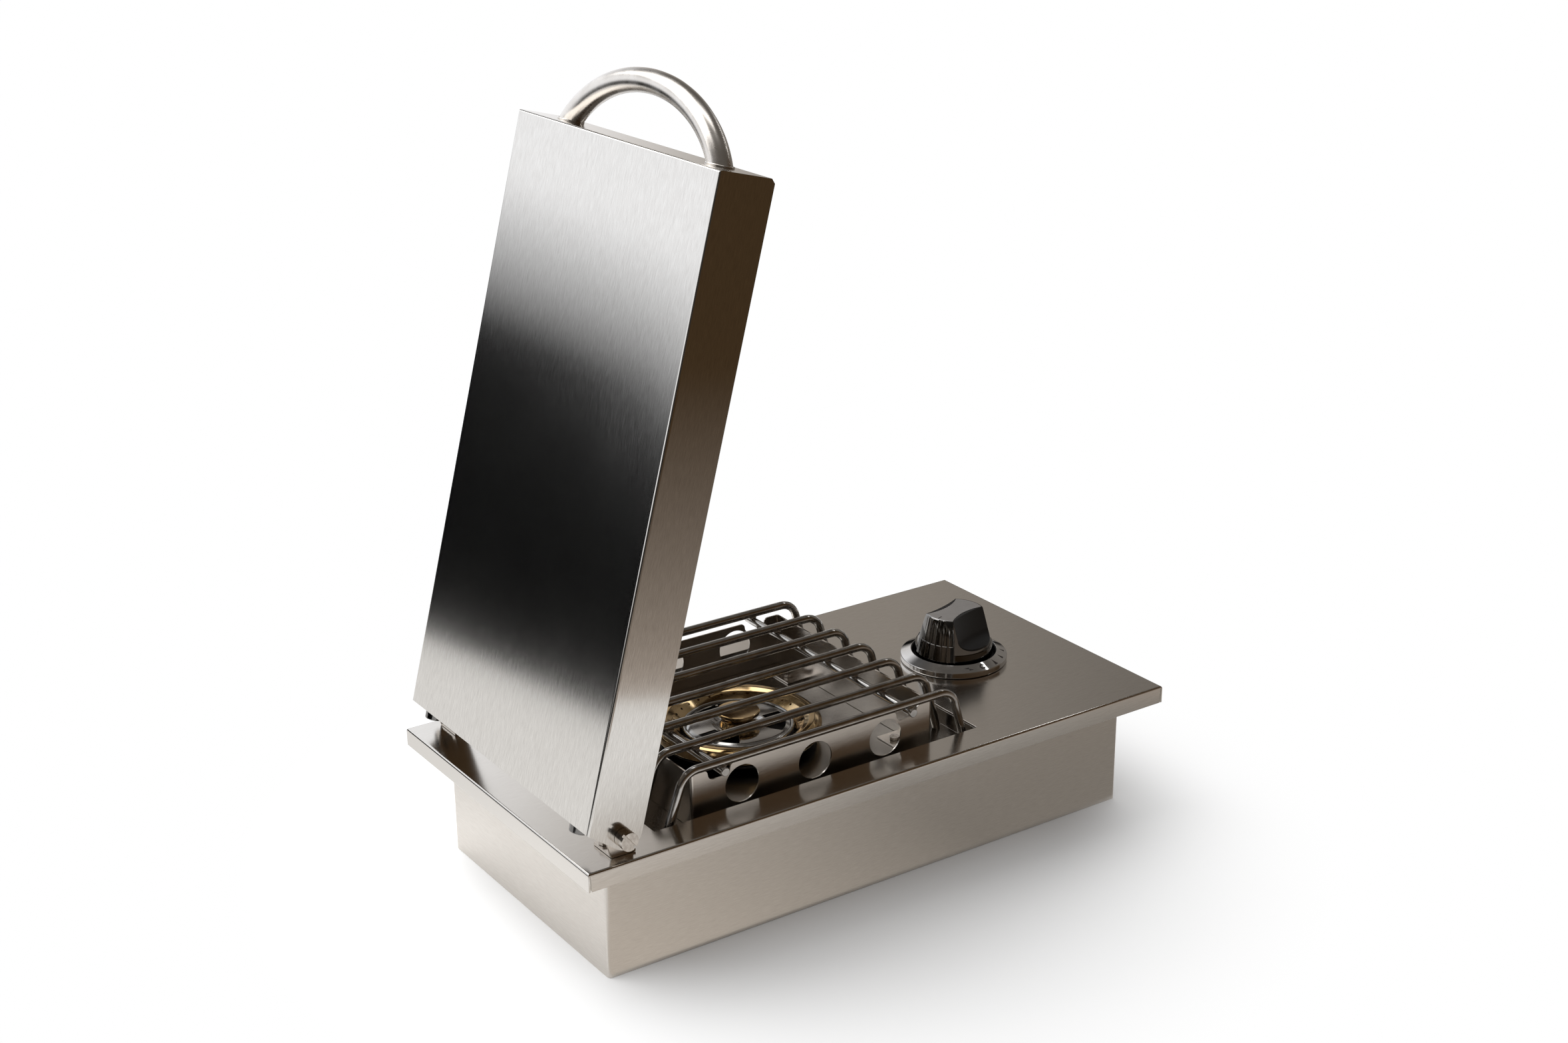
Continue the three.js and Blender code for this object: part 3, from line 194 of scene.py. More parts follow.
screwSteel = polishedMetal("turnedStainlessScrew", {
    "cloud": 3.0, "grit": 0.4, "roughness": 0.22, "spread": 0.25, "bump": 0.1, "depth": 0.03,
    "dark": "#b8b1a9", "light": "#d0cac3"})
chrome = polishedMetal("brightChromePlating", {
    "cloud": 12.0, "grit": 1.5, "roughness": 0.07, "spread": 0.4, "bump": 0.02, "depth": 0.01,
    "dark": "#c6c4c2", "light": "#d2d0ce"})
darkChrome = polishedMetal("darkChromePlating", {
    "cloud": 12.0, "grit": 1.5, "roughness": 0.06, "spread": 0.4, "bump": 0.02, "depth": 0.01,
    "dark": "#747270", "light": "#807e7b"})
satinAlloy = polishedMetal("satinAluminiumPlate", {
    "cloud": 9.0, "grit": 0.35, "roughness": 0.34, "spread": 0.06, "bump": 0.1, "depth": 0.02,
    "dark": "#c6c6c8", "light": "#cdcdcf"})
goldenSteel = polishedMetal("heatTintedSteelRing", {
    "cloud": 26.0, "grit": 0.8, "roughness": 0.11, "spread": 0.3, "bump": 0.04, "depth": 0.02,
    "dark": "#b3966a", "light": "#ccb48c"})
mirrorSteel = polishedMetal("polishedStainlessDisc", {
    "cloud": 16.0, "grit": 0.8, "roughness": 0.13, "spread": 0.25, "bump": 0.04, "depth": 0.02,
    "dark": "#a3a19e", "light": "#b4b2af"})
forgedBrass = polishedMetal("forgedBrassFitting", {
    "cloud": 7.0, "grit": 0.5, "roughness": 0.28, "spread": 0.25, "bump": 0.2, "depth": 0.05,
    "dark": "#a98342", "light": "#c7a25c"})
castIron = mouldedSurface("enamelledCastBase", {
    "ior": 1.5, "grit": 0.7, "roughness": 0.42, "spread": 0.08, "bump": 0.3, "depth": 0.1,
    "dark": "#1d1b1a", "light": "#2b2826"})
softBlack = mouldedSurface("softTouchRubberGrip", {
    "ior": 1.5, "grit": 0.3, "roughness": 0.55, "spread": 0.05, "bump": 0.15, "depth": 0.03,
    "dark": "#070708", "light": "#0c0c0d"})
blackNylon = mouldedSurface("mouldedBlackNylon", {
    "ior": 1.53, "grit": 0.5, "roughness": 0.45, "spread": 0.06, "bump": 0.2, "depth": 0.05,
    "dark": "#141415", "light": "#1f1f21"})
porcelain = mouldedSurface("glazedPorcelain", {
    "ior": 1.55, "grit": 0.6, "roughness": 0.3, "spread": 0.06, "bump": 0.1, "depth": 0.03,
    "dark": "#ddd8cc", "light": "#e9e5db"})
dialInk = mouldedSurface("bakedDialInk", {
    "ior": 1.45, "grit": 0.3, "roughness": 0.5, "spread": 0.05, "bump": 0.1, "depth": 0.02,
    "dark": "#1c1513", "light": "#2a201c"})
print("materials made")


def meshFrom(shape, name):  # puts a working form into a mesh and lets the form go
    mesh = bpy.data.meshes.new(name)
    shape.to_mesh(mesh)
    shape.free()
    return mesh


def addObject(name, data):
    item = bpy.data.objects.new(name, data)
    bpy.context.scene.collection.objects.link(item)
    return item


def addPiece(name, shape, material, body, stands=(), edge=0.0, angle=32):
    # a finished mesh in millimetres becomes a piece in metres, with its small edges rounded
    bmesh.ops.scale(shape, vec=(mm, mm, mm), verts=shape.verts)
    mesh = meshFrom(shape, name)
    mesh.materials.append(material)
    mesh.polygons.foreach_set("use_smooth", [True] * len(mesh.polygons))
    mesh.set_sharp_from_angle(angle=math.radians(angle))
    piece = addObject(name, mesh)
    if edge:
        rounding = piece.modifiers.new("rounding", "BEVEL")
        rounding.width = edge * mm
        rounding.segments = 2
        rounding.limit_method = "ANGLE"
        rounding.angle_limit = math.radians(angle)
        rounding.harden_normals = True
    weighting = piece.modifiers.new("weighting", "WEIGHTED_NORMAL")
    weighting.keep_sharp = True
    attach(piece, body)
    if stands:
        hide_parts(*stands)


def moved(shape, place):
    bmesh.ops.transform(shape, matrix=place, verts=shape.verts)
    return shape


def joined(shapes):
    whole = shapes[0]
    for shape in shapes[1:]:
        mesh = meshFrom(shape, "part")
        whole.from_mesh(mesh)
        bpy.data.meshes.remove(mesh)
    return whole


def combined(shape, tool, operation="DIFFERENCE"):  # a boolean of closed forms, which cuts unless told
    objects = [addObject("form", meshFrom(form, "form")) for form in (shape, tool)]
    boolean = objects[0].modifiers.new("boolean", "BOOLEAN")
    boolean.object = objects[1]
    boolean.operation = operation
    boolean.solver = "EXACT"
    depsgraph = bpy.context.evaluated_depsgraph_get()
    result = bpy.data.meshes.new_from_object(objects[0].evaluated_get(depsgraph))
    made = bmesh.new()
    made.from_mesh(result)
    bpy.data.meshes.remove(result)
    for item in objects:
        bpy.data.meshes.remove(item.data)
    return made


def sealed(shape, gap=0.001):  # merges doubled points, then turns every face outwards
    bmesh.ops.remove_doubles(shape, verts=shape.verts, dist=gap)
    bmesh.ops.recalc_face_normals(shape, faces=shape.faces)
    return shape


def only(kind, items):
    return [item for item in items if isinstance(item, kind)]


def rounded(shape, edges, offset):
    bmesh.ops.bevel(shape, geom=edges, offset=offset, offset_type="OFFSET", affect="EDGES", segments=3,
                    profile=0.5, material=-1, clamp_overlap=True)


def turnedForm(outline, steps=96):
    # spins an outline of (radius, height) about Z; one that starts on the axis stays open there
    shape = bmesh.new()
    points = [shape.verts.new((radius, 0, height)) for radius, height in outline]
    closed = outline[0][0] > 0
    following = points[1:] + (points[:1] if closed else [])
    edges = [shape.edges.new(pair) for pair in zip(points, following)]
    bmesh.ops.spin(shape, geom=points + edges, cent=(0, 0, 0), axis=(0, 0, 1), angle=2 * math.pi,
                   steps=steps, use_merge=True)
    return sealed(shape)


def prismForm(outline, low, high):  # extrudes a flat outline of (x, y) from low to high
    shape = bmesh.new()
    face = shape.faces.new([shape.verts.new((x, y, low)) for x, y in outline])
    grown = bmesh.ops.extrude_face_region(shape, geom=[face])["geom"]
    bmesh.ops.translate(shape, vec=(0, 0, high - low), verts=only(bmesh.types.BMVert, grown))
    bmesh.ops.recalc_face_normals(shape, faces=shape.faces)
    return shape


def blockForm(low, high):
    shape = bmesh.new()
    bmesh.ops.create_cube(shape, size=1.0)
    size = Vector(high) - Vector(low)
    middle = (Vector(high) + Vector(low)) / 2
    return moved(shape, Matrix.Translation(middle) @ Matrix.Diagonal((*size, 1)))


def ballForm(place, steps=16):  # a unit ball that the matrix brings to its size and place
    shape = bmesh.new()
    bmesh.ops.create_uvsphere(shape, u_segments=steps, v_segments=steps // 2, radius=1.0)
    return moved(shape, place)


def rodForm(radius, start, end, sides=32):
    run = Vector(end) - Vector(start)
    shape = bmesh.new()
    bmesh.ops.create_cone(shape, cap_ends=True, cap_tris=False, segments=sides, radius1=radius,
                          radius2=radius, depth=run.length)
    turn = run.to_track_quat("Z", "Y").to_matrix().to_4x4()
    return moved(shape, Matrix.Translation((Vector(start) + Vector(end)) / 2) @ turn)


def arcPoints(centre, radius, start, end, steps):  # angles in degrees
    angles = [math.radians(start + (end - start) * i / steps) for i in range(steps + 1)]
    return [(centre[0] + radius * math.cos(a), centre[1] + radius * math.sin(a)) for a in angles]


def tubeForm(points, radius, detail=4):  # a round wire along a list of points
    curve = bpy.data.curves.new("wire", "CURVE")
    curve.dimensions = "3D"
    spline = curve.splines.new("POLY")
    spline.points.add(len(points) - 1)
    for target, point in zip(spline.points, points):
        target.co = (*point, 1)
    curve.bevel_depth = radius
    curve.bevel_resolution = detail
    curve.use_fill_caps = True
    holder = addObject("wire", curve)
    depsgraph = bpy.context.evaluated_depsgraph_get()
    mesh = bpy.data.meshes.new_from_object(holder.evaluated_get(depsgraph))
    shape = bmesh.new()
    shape.from_mesh(mesh)
    bpy.data.meshes.remove(mesh)
    bpy.data.curves.remove(curve)
    return sealed(shape)


def bentPath(corners, radius, steps):  # straight runs whose corners are bent to one radius
    corners = [Vector(c) for c in corners]
    path = [corners[0]]
    for before, corner, after in zip(corners, corners[1:], corners[2:]):
        arriving = (corner - before).normalized()
        leaving = (after - corner).normalized()
        turn = arriving.angle(leaving)
        inward = (leaving - arriving).normalized()
        centre = corner + inward * radius / math.cos(turn / 2)
        start = corner - arriving * radius * math.tan(turn / 2) - centre
        axis = arriving.cross(leaving).normalized()
        for step in range(steps + 1):
            path.append(centre + Matrix.Rotation(turn * step / steps, 3, axis) @ start)
    path.append(corners[-1])
    return path


def refined(node, material, edge, cutters=(), gap=0.005, flat=0.5):
    # the node's own form, with triangles within the flat angle joined so that edges can be rounded
    shape = bmesh.new()
    shape.from_mesh(frame["nodes"][node].data)
    bmesh.ops.scale(shape, vec=(1 / mm, 1 / mm, 1 / mm), verts=shape.verts)
    bmesh.ops.remove_doubles(shape, verts=shape.verts, dist=gap)
    bmesh.ops.dissolve_limit(shape, angle_limit=math.radians(flat), verts=shape.verts, edges=shape.edges)
    if cutters:
        shape = combined(shape, joined(cutters))
    addPiece(f"{node}_sheet", shape, material, frame["nodes"][node]["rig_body"], (node,), edge)


# Folded sheet parts; the guard's air windows are opened to their full size
sheetEdge = 0.22
plateEdge = 0.5
lidPlace = Matrix.Translation(Vector(hinge["pos_m"]) / mm) @ Matrix.Rotation(math.radians(lidTurn), 4, "X")
windowSizes = {"radius": 14.5, "z": 110.0, "y": 49.0, "pitch": 63.5, "reach": 120.0, "sides": 64}
refined("top_plate", plateSteel, plateEdge)
for node, material, slot in (
        ("burner_box", boxSteel, "box_steel"), ("box_floor", boxSteel, "box_steel"),
        ("burner_tray", traySteel, "tray_steel"), ("hinge_bracket_left", guardSteelPaintedWarm, "hinge_steel"),
        ("hinge_bracket_right", guardSteelPaintedWarm, "hinge_steel")):
    refined(node, material, sheetEdge)
windowRows = [windowSizes["y"] + place * windowSizes["pitch"] for place in (-1, 0, 1)]
refined("wind_guard", guardSteelPaintedWarm, sheetEdge, [
    rodForm(windowSizes["radius"], (-windowSizes["reach"], y, windowSizes["z"]),
            (windowSizes["reach"], y, windowSizes["z"]), windowSizes["sides"]) for y in windowRows])

# Lid, with the flat stops of the CAD cut off and two round studs in their place
stopSizes = {"rearEdge": -1.4, "top": 27.1, "clear": 12.0, "reach": 125.0, "middle": 109.0, "radius": 7.0,
             "root": -8.0, "end": 5.2, "sides": 64, "bevel": 0.8}


def lidStops(s):
    z = s["top"] - s["radius"]
    studs = [rodForm(s["radius"], (x, s["root"], z), (x, s["end"], z), s["sides"])
             for x in (-s["middle"], s["middle"])]
    addPiece("lid_stop_studs", moved(joined(studs), lidPlace), darkChrome, "lid", (), s["bevel"])


flatStops = blockForm((-stopSizes["reach"], stopSizes["rearEdge"], stopSizes["top"] - stopSizes["clear"]),
                      (stopSizes["reach"], stopSizes["rearEdge"] + stopSizes["clear"],
                       stopSizes["top"] + stopSizes["clear"]))
refined("lid_shell", lidSteel, sheetEdge, [moved(flatStops, lidPlace)])
lidStops(stopSizes)
print("sheet parts made")


# Cooking grate: seven bent wires on two cross rods, welded where they cross
grateSizes = {"wireRadius": 3.3, "wireCount": 7, "pitch": 35.0, "wireZ": 133.7, "frontCorner": -74.0,
              "rearCorner": 163.0, "frontSpread": 13.5, "rearSpread": 16.5, "footZ": 86.4, "bend": 15.0,
              "bendSteps": 10, "rodReach": 111.0, "rodFront": -34.0, "rodRear": 132.0, "weldSink": 0.6,
              "rodBevel": 0.5, "beadRadius": 1.6, "beadLength": 3.4, "beadFlat": 0.7, "beadOut": 0.55,
              "beadDown": 0.92}


def cookingGrate(s):
    half = (s["wireCount"] - 1) / 2
    rodZ = s["wireZ"] - 2 * s["wireRadius"] + s["weldSink"]
    for i in range(s["wireCount"]):
        x = (i - half) * s["pitch"]
        corners = [(x, s["frontCorner"] - s["frontSpread"], s["footZ"]), (x, s["frontCorner"], s["wireZ"]),
                   (x, s["rearCorner"], s["wireZ"]), (x, s["rearCorner"] + s["rearSpread"], s["footZ"])]
        wire = tubeForm(bentPath(corners, s["bend"], s["bendSteps"]), s["wireRadius"])
        addPiece(f"grate_bent_wire_{i + 1}", wire, wireSteel, "grate",
                 (f"grate_wire_{i + 1}",))
    for i, y in enumerate((s["rodFront"], s["rodRear"])):
        rod = rodForm(s["wireRadius"], (-s["rodReach"], y, rodZ), (s["rodReach"], y, rodZ))
        addPiece(f"grate_cross_rod_{i + 1}", rod, wireSteel, "grate",
                 (f"grate_rod_{i + 1}",), s["rodBevel"])
        beads = []
        for j in range(s["wireCount"]):
            x = (j - half) * s["pitch"]
            for side in (-1, 1):
                size = Matrix.Diagonal((s["beadRadius"], s["beadLength"], s["beadRadius"] * s["beadFlat"], 1))
                spot = Matrix.Translation((x + side * s["wireRadius"] * s["beadOut"], y,
                                           s["wireZ"] - s["wireRadius"] * s["beadDown"]))
                beads.append(ballForm(spot @ size))
        addPiece(f"grate_weld_beads_{i + 1}", joined(beads), wireSteel, "grate")


cookingGrate(grateSizes)
print("grate made")


# Burner head: the ported ring, the disc with its rim wire, and the cap
burnerSizes = {"y": 49.0, "plate": 100.0, "outer": 64.0, "crest": 57.0, "lip": 50.5, "bore": 43.0,
               "crestHeight": 5.5, "wall": 2.6, "bottom": 93.0, "ports": 30, "portRadius": 1.0,
               "portShare": 0.75, "portLength": 8.0, "portSides": 12, "lipDrop": 0.75, "steps": 120,
               "bevel": 1.1, "bevelAngle": 8.0}


def burnerRing(s):
    wall = s["wall"]
    top = s["plate"] + s["crestHeight"]
    lip = Vector((s["lip"], 0, top - s["lipDrop"] * wall))
    bore = Vector((s["bore"], 0, s["plate"] - wall))
    outline = [
        (s["outer"] - wall, s["bottom"]), (s["outer"], s["bottom"] + wall),
        (s["outer"], s["plate"] + s["crestHeight"] / 3), (s["outer"] - wall, top - wall / 2),
        (s["crest"] + wall / 2, top), (s["crest"] - wall, top), (lip.x, lip.z), (bore.x, bore.z),
        (s["bore"], bore.z - wall / 2), (s["lip"] - wall, s["bottom"]), (s["lip"], s["bottom"]),
        (s["lip"] + wall / 2, top - 2 * wall), (s["crest"] - wall / 2, top - wall),
        (s["crest"] + wall / 2, top - wall), (s["outer"] - wall, s["plate"]),
        (s["outer"] - 2 * wall, s["bottom"])]
    shape = turnedForm(outline, s["steps"])
    rounded(shape, [e for e in shape.edges if e.calc_face_angle(0) > math.radians(s["bevelAngle"])], s["bevel"])
    middle = bore.lerp(lip, s["portShare"])
    slope = (lip - bore).normalized()
    across = Vector((-slope.z, 0, slope.x)) * s["portLength"] / 2
    ports = []
    for i in range(s["ports"]):
        port = rodForm(s["portRadius"], middle - across, middle + across, s["portSides"])
        ports.append(moved(port, Matrix.Rotation(2 * math.pi * (i + 0.5) / s["ports"], 4, "Z")))
    shape = combined(shape, joined(ports))
    moved(shape, Matrix.Translation((0, s["y"], 0)))
    addPiece("burner_ring_pressing", shape, goldenSteel, "base", ("burner_ring",))


discSizes = {"radius": 39.9, "sheet": 1.0, "flat": 100.5, "hubRadius": 17.0, "hub": 98.5, "step": 3.0,
             "edgeRun": 3.2, "edgeDrop": 1.3, "bore": 3.6, "inner": 21.5, "outer": 36.5, "angle": 56.0,
             "sectors": 3, "rimRadius": 1.35, "rimGap": 0.3, "bevel": 0.25, "steps": 120, "arcSteps": 24,
             "rimSteps": 96}


def burnerDisc(s, centreY):
    edge = s["flat"] - s["edgeDrop"]
    top = [(s["bore"], s["hub"]), (s["hubRadius"], s["hub"]), (s["hubRadius"] + s["step"], s["flat"]),
           (s["radius"] - s["edgeRun"], s["flat"]), (s["radius"], edge)]
    under = [(radius, height - s["sheet"]) for radius, height in reversed(top)]
    shape = turnedForm(top + under, s["steps"])
    windows = []
    for i in range(s["sectors"]):
        middle = 360 * i / s["sectors"]
        first, last = middle - s["angle"] / 2, middle + s["angle"] / 2
        outline = arcPoints((0, 0), s["outer"], first, last, s["arcSteps"])
        outline += arcPoints((0, 0), s["inner"], last, first, s["arcSteps"])
        windows.append(prismForm(outline, s["hub"] - 2 * s["sheet"], s["flat"] + s["sheet"]))
    shape = combined(shape, joined(windows))
    moved(shape, Matrix.Translation((0, centreY, 0)))
    addPiece("burner_disc_plate", shape, mirrorSteel, "base", ("burner_disc",), s["bevel"])
    path = arcPoints((0, centreY), s["radius"] + s["rimGap"] + s["rimRadius"], 0, 360, s["rimSteps"])
    height = edge + (s["rimRadius"] - s["sheet"]) / 2
    rim = tubeForm([(x, y, height) for x, y in path], s["rimRadius"])
    addPiece("burner_rim_wire", rim, mirrorSteel, "base", ("burner_rim",))


capSizes = {"foot": 98.8, "footRadius": 15.0, "neckRadius": 12.5, "radius": 16.5, "edgeHeight": 2.8,
            "top": 111.0, "stemRadius": 3.2, "stemLength": 3.0, "bevel": 0.8, "bevelAngle": 20}


def burnerCap(s, centreY):
    waist = s["foot"] + (s["top"] - s["edgeHeight"] - s["foot"]) / 2
    outline = [(0, s["foot"] - s["stemLength"]), (s["stemRadius"], s["foot"] - s["stemLength"]),
               (s["stemRadius"], s["foot"]), (s["footRadius"], s["foot"]), (s["neckRadius"], waist),
               (s["neckRadius"] + s["bevel"], s["top"] - s["edgeHeight"] - s["bevel"]),
               (s["radius"], s["top"] - s["edgeHeight"]), (s["radius"], s["top"]), (0, s["top"])]
    shape = moved(turnedForm(outline), Matrix.Translation((0, centreY, 0)))
    addPiece("burner_cap_turning", shape, goldenSteel, "base", ("burner_cap",), s["bevel"],
             s["bevelAngle"])


burnerRing(burnerSizes)
burnerDisc(discSizes, burnerSizes["y"])
burnerCap(capSizes, burnerSizes["y"])
print("burner made")


# Knob: a dark chromed skirt with ribbed ends, soft black grips in its two thumb cuts, a satin pointer plate
knobSizes = {"y": -160.0, "angle": 106.0, "bottom": 106.0, "top": 142.0, "skirt": 31.0, "skirtHeight": 3.0,
             "topRadius": 24.4, "edge": 0.6, "halfLength": 20.5, "halfWaist": 8.5, "halfEnd": 13.25,
             "plate": 1.2, "inset": 0.25, "gripWaist": 11.4, "gripArc": 110.0, "cutFoot": 118.0,
             "cutBend": 127.0, "cutLean": 18.0, "cutSteps": 8, "cutWidth": 30.0, "gripBase": 1.4, "gap": 0.12,
             "ribs": 7, "ribPitch": 10.6, "ribHeight": 13.0, "ribWidth": 4.5, "ribProud": 0.8,
             "ribRoot": 1.6, "ribBevel": 0.35, "collarHeight": 9.0, "collarWall": 3.0, "collarProud": 0.15,
             "pointerLength": 5.0, "pointerWidth": 0.9, "pointerInset": 1.2, "pointerDepth": 0.3,
             "pointerProud": 0.03, "steps": 128, "cutArcSteps": 32, "sideSteps": 24, "endSteps": 12,
             "skirtBevel": 0.25, "skirtAngle": 25, "gripBevel": 0.45, "gripAngle": 30, "plateBevel": 0.3}


def knobCone(s):
    return turnedForm([(0, s["bottom"]), (s["skirt"], s["bottom"]),
                       (s["skirt"], s["bottom"] + s["skirtHeight"]), (s["topRadius"], s["top"] - s["edge"]),
                       (s["topRadius"] - s["edge"], s["top"]), (0, s["top"])], s["steps"])


def thumbCut(s, side, waist, arc, foot):
    # steep from the top down to the bend, then curving out to the skirt
    spread = math.degrees(math.asin(s["cutWidth"] / arc))
    outline = arcPoints((0, waist + arc), arc, 270 - spread, 270 + spread, s["cutArcSteps"])
    outline += [(s["cutWidth"], 2 * s["skirt"]), (-s["cutWidth"], 2 * s["skirt"])]
    slope = math.tan(math.radians(s["cutLean"]))
    high = s["top"] + s["plate"]
    levels = [(high, -s["plate"] * slope), (s["cutBend"], (s["top"] - s["cutBend"]) * slope)]
    reach = s["skirt"] - waist - levels[1][1]
    for step in range(1, s["cutSteps"] + 1):
        turn = math.pi / 2 * step / s["cutSteps"]
        levels.append((s["cutBend"] - (s["cutBend"] - foot) * math.sin(turn),
                       levels[1][1] + reach * (1 - math.cos(turn))))
    shape = bmesh.new()
    grown = [shape.faces.new([shape.verts.new((x, side * (y + levels[0][1]), high)) for x, y in outline])]
    for (z, shift), (nextZ, nextShift) in zip(levels, levels[1:]):
        faces = only(bmesh.types.BMFace, grown)
        grown = bmesh.ops.extrude_face_region(shape, geom=faces)["geom"]
        bmesh.ops.translate(shape, vec=(0, side * (nextShift - shift), nextZ - z),
                            verts=only(bmesh.types.BMVert, grown))
        if z < high:  # the face that was grown stays only at the top
            bmesh.ops.delete(shape, geom=faces, context="FACES_ONLY")
    bmesh.ops.recalc_face_normals(shape, faces=shape.faces)
    return shape


def plateauArc(s):
    sagitta = s["halfEnd"] - s["halfWaist"]
    return (s["halfLength"] ** 2 + sagitta ** 2) / (2 * sagitta)


def plateauOutline(s, inset):
    arc = plateauArc(s) + inset
    away = s["halfWaist"] + arc - inset
    reach = s["topRadius"] - s["edge"] - inset
    cross = (reach ** 2 + away ** 2 - arc ** 2) / (2 * away)
    along = math.sqrt(reach ** 2 - cross ** 2)
    end = math.degrees(math.atan2(cross, along))
    side = math.degrees(math.atan2(away - cross, along))
    points = arcPoints((0, 0), reach, -end, end, s["endSteps"])
    points += arcPoints((0, away), arc, -side, side - 180, s["sideSteps"])[1:]
    points += arcPoints((0, 0), reach, 180 - end, 180 + end, s["endSteps"])[1:]
    return points + arcPoints((0, -away), arc, 180 - side, side, s["sideSteps"])[1:-1]


def knobPieces(s):
    place = Matrix.Translation((0, s["y"], 0)) @ Matrix.Rotation(math.radians(s["angle"]), 4, "Z")
    taper = math.atan2(s["skirt"] - s["topRadius"], s["top"] - s["bottom"] - s["skirtHeight"])
    inner = s["skirt"] - s["collarWall"]
    low, high = s["bottom"] + s["skirtHeight"] / 2, s["bottom"] + s["collarHeight"]
    outer = s["skirt"] + s["collarProud"]
    collar = turnedForm([(inner, low), (outer, low), (outer, high), (inner, high)], s["steps"])
    half = math.radians(s["ribs"] * s["ribPitch"] / 2)
    far = 2 * s["skirt"]
    for end in (1, -1):
        wedge = prismForm([(0, 0), (end * far, far * math.tan(half)), (end * far, -far * math.tan(half))],
                          s["bottom"], s["top"])
        collar = combined(collar, wedge)
    ribs = []
    for end in (0, 180):
        for i in range(s["ribs"]):
            rib = blockForm((-s["ribRoot"], -s["ribWidth"] / 2, 0),
                            (s["ribProud"], s["ribWidth"] / 2, s["ribHeight"]))
            rounded(rib, rib.edges[:], s["ribBevel"])
            turn = math.radians(end + (i - (s["ribs"] - 1) / 2) * s["ribPitch"])
            spot = Matrix.Translation((s["skirt"], 0, s["bottom"] + s["skirtHeight"]))
            ribs.append(moved(rib, Matrix.Rotation(turn, 4, "Z") @ spot @ Matrix.Rotation(-taper, 4, "Y")))
    skirt = combined(combined(knobCone(s), collar, "UNION"), joined(ribs), "UNION")
    arc, foot = plateauArc(s), s["cutFoot"] - s["gripBase"]
    for side in (-1, 1):
        skirt = combined(skirt, thumbCut(s, side, s["halfWaist"], arc, foot))
    seat = prismForm(plateauOutline(s, s["inset"] - s["gap"]), s["top"] - s["plate"], s["top"] + s["plate"])
    skirt = combined(skirt, seat)
    addPiece("knob_chrome_skirt", moved(skirt, place), darkChrome, "knob", ("knob_skirt",),
             s["skirtBevel"], s["skirtAngle"])
    for side, label in ((1, "left"), (-1, "right")):
        back = thumbCut(s, side, s["halfWaist"] + s["gap"], arc, foot + s["gap"])
        grip = combined(knobCone(s), back, "INTERSECT")
        grip = combined(grip, thumbCut(s, side, s["gripWaist"], s["gripArc"], s["cutFoot"]))
        addPiece(f"knob_soft_grip_{label}", moved(grip, place), softBlack, "knob",
                 (f"knob_grip_{label}",), s["gripBevel"], s["gripAngle"])
    plate = prismForm(plateauOutline(s, s["inset"]), s["top"] - s["plate"] + s["gap"], s["top"])
    addPiece("knob_pointer_plate", moved(plate, place), satinAlloy, "knob", ("knob_plate",),
             s["plateBevel"])
    reach = s["topRadius"] - s["edge"] - s["inset"] - s["pointerInset"]
    line = blockForm((reach - s["pointerLength"], -s["pointerWidth"] / 2, s["top"] - s["pointerDepth"]),
                     (reach, s["pointerWidth"] / 2, s["top"] + s["pointerProud"]))
    addPiece("knob_pointer_line", moved(line, place), dialInk, "knob")


# Bezel: a bevelled chrome ring, lined with a black sleeve of painted shade that makes the gap round the knob
# dark
bezelSizes = {"y": -160.0, "foot": 100.3, "footRadius": 42.4, "radius": 43.0, "rim": 105.0, "top": 108.8,
              "bore": 34.5, "ledge": 28.5, "sleeve": 0.7, "sleeveGap": 0.05, "steps": 128, "bevel": 0.35,
              "bevelAngle": 20, "sleeveBevel": 0.15, "sleeveAngle": 30}


def knobBezel(s):
    place = Matrix.Translation((0, s["y"], 0))
    outline = [(s["bore"], s["foot"]), (s["footRadius"], s["foot"]),
               (s["radius"], s["foot"] + s["radius"] - s["footRadius"]), (s["radius"], s["rim"]),
               (s["bore"], s["top"])]
    ring = moved(turnedForm(outline, s["steps"]), place)
    addPiece("knob_bezel_ring", ring, chrome, "base", ("knob_bezel",), s["bevel"],
             s["bevelAngle"])
    inner, outer = s["bore"] - s["sleeve"], s["bore"] - s["sleeveGap"]
    high, floor = s["top"] - s["sleeve"], s["foot"] + s["sleeve"]
    # the black sleeve is painted shade: a dark sheet put where the gap round the knob lies in shade
    sleeve = turnedForm([(s["ledge"], s["foot"]), (outer, s["foot"]), (outer, high), (inner, high),
                         (inner, floor), (s["ledge"], floor)])
    addPiece("bezel_gap_painted_shade", moved(sleeve, place), softBlack, "base", (),
             s["sleeveBevel"], s["sleeveAngle"])


# Printed dial marks: a spark, a ring and four flames of falling size, as plain triangles
dialSizes = {"lift": 0.03, "thick": 0.05, "spark": 160.0, "ring": 178.0, "flames": (-162, -144, -125, -108),
             "flameHeights": (6.0, 5.0, 4.2, 3.4), "flameShare": 0.27, "ringRadius": 2.5, "ringStroke": 1.1,
             "ringFrom": -60, "ringTo": 240, "ringSteps": 28,
             "sparkPoints": ((0.8, 3.4), (1.5, -0.2), (0.3, 0.2), (-1.2, -3.6), (-1.6, 0.1), (-0.4, -0.3))}


